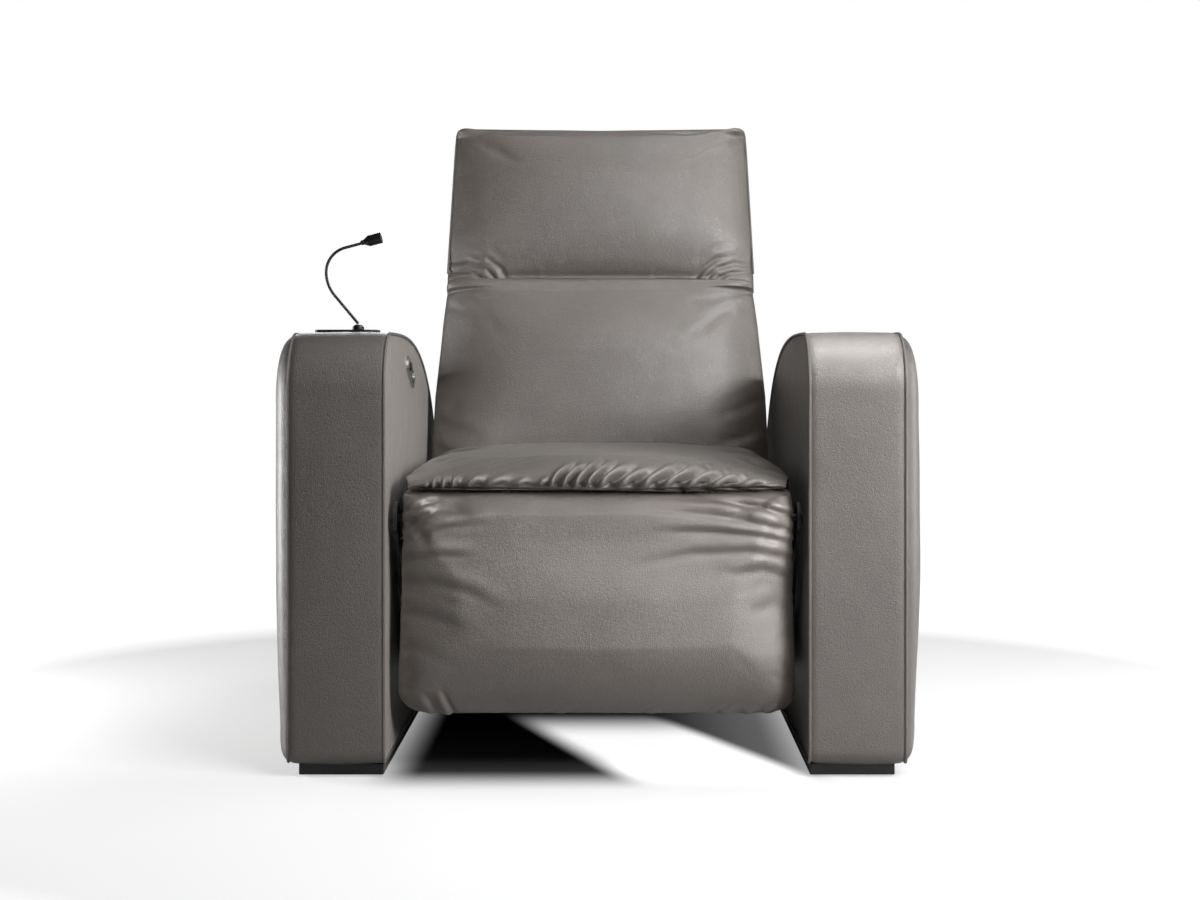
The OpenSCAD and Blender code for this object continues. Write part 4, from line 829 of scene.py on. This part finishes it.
def back_shape(co, no):
    px, py = seen(co)
    facing = smoothstep(0.1, 0.6, -no[:, 1])
    rise = np.zeros(len(co))
    for points, wide, high in BACK_FOLDS:
        rise += stroke(px, py, points, wide, high * MM)
    local = upright(co, BACK_AXIS)
    front = smoothstep(-0.02, -0.045, local[:, 1])
    fine = cloudy(co, 0.16, 7.1) * 0.0024 + cloudy(co, 0.06, 1.3) * 0.0005
    return no * (rise * facing + fine * front)[:, None]


grid = back_grid()
local = upright(grid.reshape(-1, 3), BACK_AXIS)
hold = np.where((local[:, 1] > -0.03) | (local[:, 2] > BACK_LEN - 0.03), 1.0, 0.0).reshape(grid.shape[:2])
grid = swell(grid, hold, (0.004, 0.008, 0.006), 3.0)
finish_cushion("back_leather", grid, skin_main, "back", ["back_cushion"], back_shape)


# Headrest, placed about its own hinge

HEAD_LEN, HEAD_TOP_R = 0.287, 0.011
HEAD_LOW_W, HEAD_HIGH_W = 0.2785, 0.2670
HEAD_REAR = 0.012


def head_half(s):
    return HEAD_LOW_W + (HEAD_HIGH_W - HEAD_LOW_W) * max(0, s) / HEAD_LEN


def head_sag(x, s):
    """How far the headrest's top edge hangs down between its corners."""
    return 0.003 * smoothstep(HEAD_LEN - 0.06, HEAD_LEN, s) * np.clip(1 - (x / HEAD_HIGH_W) ** 2, 0, None)


def head_grid():
    rings = []
    for a in np.radians(np.linspace(82, 2, 14)):
        y = HEAD_R * math.cos(a)
        rings.append((-HEAD_R * math.sin(a), cushion_ring(HEAD_LOW_W, -y + 0.018 * math.cos(a), HEAD_REAR,
                                                          min(0.020, y * 0.6), 0.0)))
    for q in np.linspace(0, 1, 46)[1:-1]:
        s = (HEAD_LEN - HEAD_TOP_R) * q
        under = 0.018 * max(0.0, 1 - s / 0.075) ** 1.6
        full = math.sin(math.pi * min(1, q * 1.02)) ** 0.8
        face = -HEAD_R + 0.010 * smoothstep(0.78, 1.0, q) + under + 0.006 * full
        rings.append((s, cushion_ring(head_half(s), face, HEAD_REAR, 0.028, 0.001 + 0.030 * full, reach=0.075)))
    for a in np.linspace(0, math.pi / 2, 9):
        s = HEAD_LEN - HEAD_TOP_R * (1 - math.sin(a))
        c = 1 - math.cos(a)
        rings.append((s, cushion_ring(head_half(s) - HEAD_TOP_R * c, 0.010 + HEAD_TOP_R * c - HEAD_R, HEAD_REAR,
                                      0.020, 0.0)))
    local = np.array([np.column_stack([r[:, 0], r[:, 1], np.full(len(r), s)]) for s, r in rings])
    local[..., 2] -= head_sag(local[..., 0], local[..., 2])
    return leaning(local, HEAD_AXIS)


HEAD_FOLDS = [
    ([(502, 284), (496, 272), (484, 262), (468, 258)], 4.2, 5.6),
    ([(492, 283), (484, 272), (466, 266), (447, 269)], 4.0, 5.2),
    ([(482, 284), (470, 276), (448, 278)], 3.6, 3.8), ([(500, 266), (486, 254), (462, 248)], 6.0, 1.8),
    ([(699, 284), (706, 273), (718, 264), (732, 261)], 4.2, -5.0),
    ([(708, 284), (718, 273), (734, 269), (752, 272)], 4.0, -4.6),
    ([(718, 284), (730, 278), (751, 280)], 3.6, -3.4), ([(700, 268), (714, 256), (736, 250)], 6.0, -1.6),
    ([(540, 281), (541, 274), (538, 266)], 4.0, 0.9), ([(650, 281), (649, 274), (653, 266)], 4.0, 0.9),
]


def head_shape(co, no):
    px, py = seen(co)
    facing = smoothstep(0.1, 0.6, -no[:, 1])
    rise = np.zeros(len(co))
    for points, wide, high in HEAD_FOLDS:
        rise += stroke(px, py, points, wide, abs(high) * MM, skew=1.0 if high > 0 else -1.0)
    local = upright(co, HEAD_AXIS)
    front = smoothstep(0.0, -0.012, local[:, 1])
    fine = cloudy(co, 0.15, 12.1) * 0.0020 + cloudy(co, 0.05, 4.3) * 0.0005
    return no * (rise * facing + fine * front)[:, None]


grid = head_grid()
local = upright(grid.reshape(-1, 3), HEAD_AXIS)
hold = np.where((local[:, 1] > 0.0) | (local[:, 2] < -0.018), 1.0, 0.0).reshape(grid.shape[:2])
grid = swell(grid, hold, (0.003, 0.006, 0.004), 3.0)
finish_cushion("headrest_leather", grid, skin_main, "headrest", ["headrest_cushion"], head_shape)


def head_welt():
    """Thin welt up both sides and along the top of the headrest, where its face meets its border."""
    side = [(head_half(s) - 0.0004, s) for s in np.linspace(0.006, HEAD_LEN - 0.014, 40)]
    r = 0.0125
    turn = [(head_half(HEAD_LEN) - r + r * math.cos(a), HEAD_LEN - r + (r - 0.001) * math.sin(a))
            for a in np.linspace(0.1, math.pi / 2, 10)]
    half = side + turn
    top = [(x, HEAD_LEN - 0.001) for x in np.linspace(0.24, -0.24, 60)]
    path = half + top + [(-x, s) for x, s in half[::-1]]
    path = resample(path, 0.004, wrap=False)
    deep = -0.0015 + 0.0075 * smoothstep(HEAD_LEN - 0.05, HEAD_LEN - 0.01, path[:, 1])
    local = np.column_stack([path[:, 0], deep, path[:, 1] - head_sag(path[:, 0], path[:, 1])])
    obj = tube("headrest_welt", leaning(local, HEAD_AXIS), 0.0017, skin_piping_highlight, "headrest", sides=10)


head_welt()


# Hardware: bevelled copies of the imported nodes, each with its own finish

BODY_OF = {n: b for b, names in frame["record"]["behaviour"]["bodies"].items() for n in names}
FINISHES = [
    (board, 0.0010, ["left_arm_frame", "right_arm_frame", "seat_board", "legrest_board", "headrest_board"]),
    (black_metal, 0.0016, ["left_plinth", "right_plinth"]),
    (black_plastic, 0.0004, ["floor_glides", "recline_button", "power_inlet"]),
    (black_plastic, 0.0016, ["legrest_motor", "back_motor", "control_box", "switch_box"]),
    (black_metal, 0.0009, ["console_plate", "lamp_socket", "lamp_head"]),
    (zinc, 0.0005, ["rail_bolts", "headrest_pins", "legrest_cross_pin", "back_cross_pin"]),
    (dark_zinc, 0.0005, ["legrest_pins", "back_pins"]),
    (rod_chrome, 0.0005, ["legrest_actuator_rod", "back_actuator_rod"]),
    (dark_steel, 0.0010, ["front_cross_rail", "rear_cross_rail", "left_side_plate", "right_side_plate",
                          "seat_frame", "legrest_brackets", "legrest_lever", "back_frame", "back_brackets",
                          "back_lever_arms", "headrest_arms", "headrest_eyes"]),
    (satin_metal, 0.0006, ["control_bezel", "return_button"]),
    (web, 0.0003, ["back_webbing"]),
    (cloth, 0.0003, ["legrest_lining"]),
    (lens, 0.0003, ["lamp_lens"]),
    (skin_rear, 0.0030, ["back_shell", "headrest_shell"]),
]
for finish, bevel, names in FINISHES:
    for name in names:
        dress(name, finish, BODY_OF[name], bevel, 3 if bevel > 0.001 else 2)


def lamp_neck():
    """Flexible neck: a tube of fine turned ribs along two arcs and two straights."""
    lean, turn, root, low_r, high_r, tip = 40, 75, 0.057, 0.055, 0.039, 0.024
    at, here, path = -lean, np.array([0.0, 0.0]), []

    def step(length, bend=0.0, n=40):
        nonlocal at, here
        for _ in range(n):
            at += bend / n
            here = here + length / n * np.array([math.sin(math.radians(at)), math.cos(math.radians(at))])
            path.append(here.copy())

    path.append(here.copy())
    step(root)
    step(low_r * math.radians(lean), lean)
    step(high_r * math.radians(turn), turn)
    step(tip)
    lo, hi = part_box("lamp_neck")
    path = np.array(path)
    slant = 0.0024 * math.sin(math.radians(lean))
    path = np.column_stack([path[:, 0] + joints["lamp_swivel"]["pos_m"][0],
                            np.full(len(path), (lo[1] + hi[1]) / 2), path[:, 1] + lo[2] + slant])
    pitch, spacing = 0.0024, 0.0004
    path = resample(path, spacing, wrap=False)
    along = np.arange(len(path)) * spacing
    radii = 0.00225 + 0.00018 * np.sin(2 * math.pi * along / pitch)
    obj = tube("neck_ribs", path, None, black_metal, "lamp", sides=20, radii=radii)
    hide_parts("lamp_neck")


lamp_neck()


# Stage: white floor, soft light mostly from the right, and the photograph's viewpoint

FLOOR_HALF = 14.0
FLOOR_GREY = 0.50


def math_node(t, a, b, operation="MULTIPLY"):
    return node(t, "ShaderNodeMath", {0: a, 1: b}, operation=operation).outputs[0]


def edge_node(t, value, low, high):
    """Smooth step from 0 at low to 1 at high."""
    return node(t, "ShaderNodeMapRange", {"Value": value, "From Min": low, "From Max": high},
                interpolation_type="SMOOTHSTEP").outputs[0]


def camera_ray_mix(t, other, direct):
    """Shows the direct shader to camera rays and the other one to all the rest."""
    path = node(t, "ShaderNodeLightPath")
    return node(t, "ShaderNodeMixShader", {0: path.outputs["Is Camera Ray"], 1: other.outputs[0],
                                           2: direct.outputs[0]})


def floor_material():
    """White floor, with painted shade under the seat, a painted pool of light in that shade and a little
    painted light under its right part.
    """
    m, t = new_material("floor_white")
    place = node(t, "ShaderNodeTexCoord").outputs["Object"]
    x, y, _z = node(t, "ShaderNodeSeparateXYZ", {0: place}).outputs
    spread = math_node(t, x, 0.0, "ABSOLUTE")
    # Where the painted shade under the seat lies.
    painted_shade_mask = math_node(t, math_node(t, edge_node(t, spread, 0.36, 0.26), edge_node(t, y, -0.56, -0.40)),
                       edge_node(t, y, 0.60, 0.40))
    # Edges of the painted pool of light that lies in the painted shade.
    left_edge = math_node(t, math_node(t, x, 2.84), y, "ADD")
    right_edge = math_node(t, math_node(t, x, 2.31), y, "ADD")
    painted_light_pool = math_node(t, edge_node(t, left_edge, -0.42, -0.24), edge_node(t, right_edge, 0.33, 0.22))
    painted_light_pool = math_node(t, math_node(t, painted_light_pool, painted_shade_mask), edge_node(t, y, 0.10, -0.15))
    around = math_node(t, 1.0, painted_shade_mask, "SUBTRACT")
    far = node(t, "ShaderNodeVectorMath", {0: place}, operation="LENGTH").outputs["Value"]
    # Painted light: a little more glow under the right part of the seat.
    right = math_node(t, math_node(t, edge_node(t, x, 0.05, 0.30), painted_shade_mask), 0.12)
    lit = math_node(t, math_node(t, around, 0.53), math_node(t, painted_light_pool, 0.97), "ADD")
    base = math_node(t, lit, right, "ADD")
    level = math_node(t, base, edge_node(t, far, 0.85, 1.65), "MAXIMUM")
    # Painted shade: the floor's colour darkened under the seat, outside the painted pool of light.
    dark = math_node(t, math_node(t, painted_shade_mask, math_node(t, 1.0, painted_light_pool, "SUBTRACT")), 0.46)
    matt = node(t, "ShaderNodeBsdfDiffuse", {"Color": math_node(t, FLOOR_GREY, dark, "SUBTRACT")})
    glow = node(t, "ShaderNodeEmission", {"Color": (1, 1, 1, 1), "Strength": level})
    both = node(t, "ShaderNodeAddShader", {0: matt.outputs[0], 1: glow.outputs[0]})
    other = node(t, "ShaderNodeBsdfDiffuse", {"Color": (FLOOR_GREY, FLOOR_GREY, FLOOR_GREY, 1)})
    node(t, "ShaderNodeOutputMaterial", {"Surface": camera_ray_mix(t, other, both).outputs[0]})
    return m


def add_floor():
    s = FLOOR_HALF
    mesh = bpy.data.meshes.new("floor")
    mesh.from_pydata([(-s, -s, 0), (s, -s, 0), (s, s, 0), (-s, s, 0)], [], [(0, 1, 2, 3)])
    floor = bpy.data.objects.new("floor", mesh)
    scene.collection.objects.link(floor)
    mesh.materials.append(floor_material())


def add_world():
    """White behind everything, with only a trace of light from all round."""
    world = bpy.data.worlds.new("world")
    scene.world = world
    world.use_nodes = True
    t = world.node_tree
    t.nodes.clear()
    soft = node(t, "ShaderNodeBackground", {"Color": (1, 1, 1, 1), "Strength": 0.008})
    white = node(t, "ShaderNodeBackground", {"Color": (1, 1, 1, 1), "Strength": 1.0})
    node(t, "ShaderNodeOutputWorld", {"Surface": camera_ray_mix(t, soft, white).outputs[0]})


def area(name, place, aim, size, power, only=None):
    """Area light aimed at a point. only names the pieces that it falls on."""
    lamp = bpy.data.lights.new(name, "AREA")
    lamp.shape, lamp.size, lamp.size_y, lamp.energy = "RECTANGLE", size[0], size[1], power
    o = bpy.data.objects.new(name, lamp)
    scene.collection.objects.link(o)
    o.location = place
    o.rotation_euler = (Vector(aim) - Vector(place)).to_track_quat("-Z", "Y").to_euler()
    if only:
        group = bpy.data.collections.new(name + "_on")
        for piece in only:
            group.objects.link(bpy.data.objects[piece])
        o.light_linking.receiver_collection = group
    return o


def add_lights():
    cushions = ["legrest_leather", "seat_leather", "back_leather", "headrest_leather"]
    behind = [o.name for o in scene.objects if o.name.startswith("shown_") and "console" not in o.name]
    behind += [side_name(left) + part for left in (True, False) for part in ("_band_leather", "_outer_leather")]
    area("key", (1.1, -2.0, 1.8), (0.1, 0, 0.5), (0.9, 0.9), 27)
    area("near", (1.15, -1.2, 1.25), (0.3, -0.2, 0.5), (0.5, 0.5), 14)
    low = area("low", (1.5, -2.0, 0.6), (0.35, -0.4, 0.35), (0.5, 0.5), 0.9)
    low.data.spread = math.radians(40)
    area("cushion_side", (1.9, -1.9, 1.1), (0.25, -0.3, 0.5), (0.5, 0.5), 58, cushions[:1])
    area("back_side", (1.9, -1.5, 1.75), (0.1, 0.1, 0.8), (0.5, 0.5), 26, cushions[1:])
    area("cushion_fill", (-0.5, -3.6, 0.9), (0, -0.3, 0.45), (1.4, 1.2), 2, cushions)
    area("arm_inner", (0.9, -1.7, 0.9), (-0.3, -0.35, 0.5), (0.5, 0.5), 80, ["left_inner_leather"])
    area("arm_crown", (0.5, -0.6, 2.0), (0.38, -0.42, 0.6), (0.5, 0.5), 20, ["right_band_leather"])
    area("top", (0.5, 0.2, 2.3), (0.1, 0.1, 0.5), (1.0, 0.8), 14)
    area("top_front", (0.3, -1.3, 2.2), (0.1, 0.0, 0.6), (0.8, 0.5), 6)
    area("rim_left", (-1.7, 0.1, 0.40), (-0.5, -0.1, 0.35), (0.5, 0.6), 18.5)
    area("rear", (-0.6, 2.6, 1.3), (0, 0.3, 0.5), (1.5, 1.2), 34, behind)
    area("rim_right", (1.8, 0.3, 0.6), (0.5, -0.2, 0.35), (0.5, 1.0), 10)


def add_camera():
    cam = bpy.data.cameras.new("camera")
    cam.sensor_width = SENSOR
    cam.lens = FOCAL * SENSOR / PICTURE_W
    cam.shift_x = (PICTURE_W / 2 - CENTRE_X) / PICTURE_W
    cam.shift_y = (CENTRE_Y - PICTURE_H / 2) / PICTURE_W
    eye = bpy.data.objects.new("camera", cam)
    scene.collection.objects.link(eye)
    eye.location = EYE
    eye.rotation_euler = (math.radians(90), 0, 0)
    scene.camera = eye
    scene.view_settings.view_transform = "Standard"
    scene.view_settings.look = "None"


add_floor()
add_world()
add_lights()
add_camera()
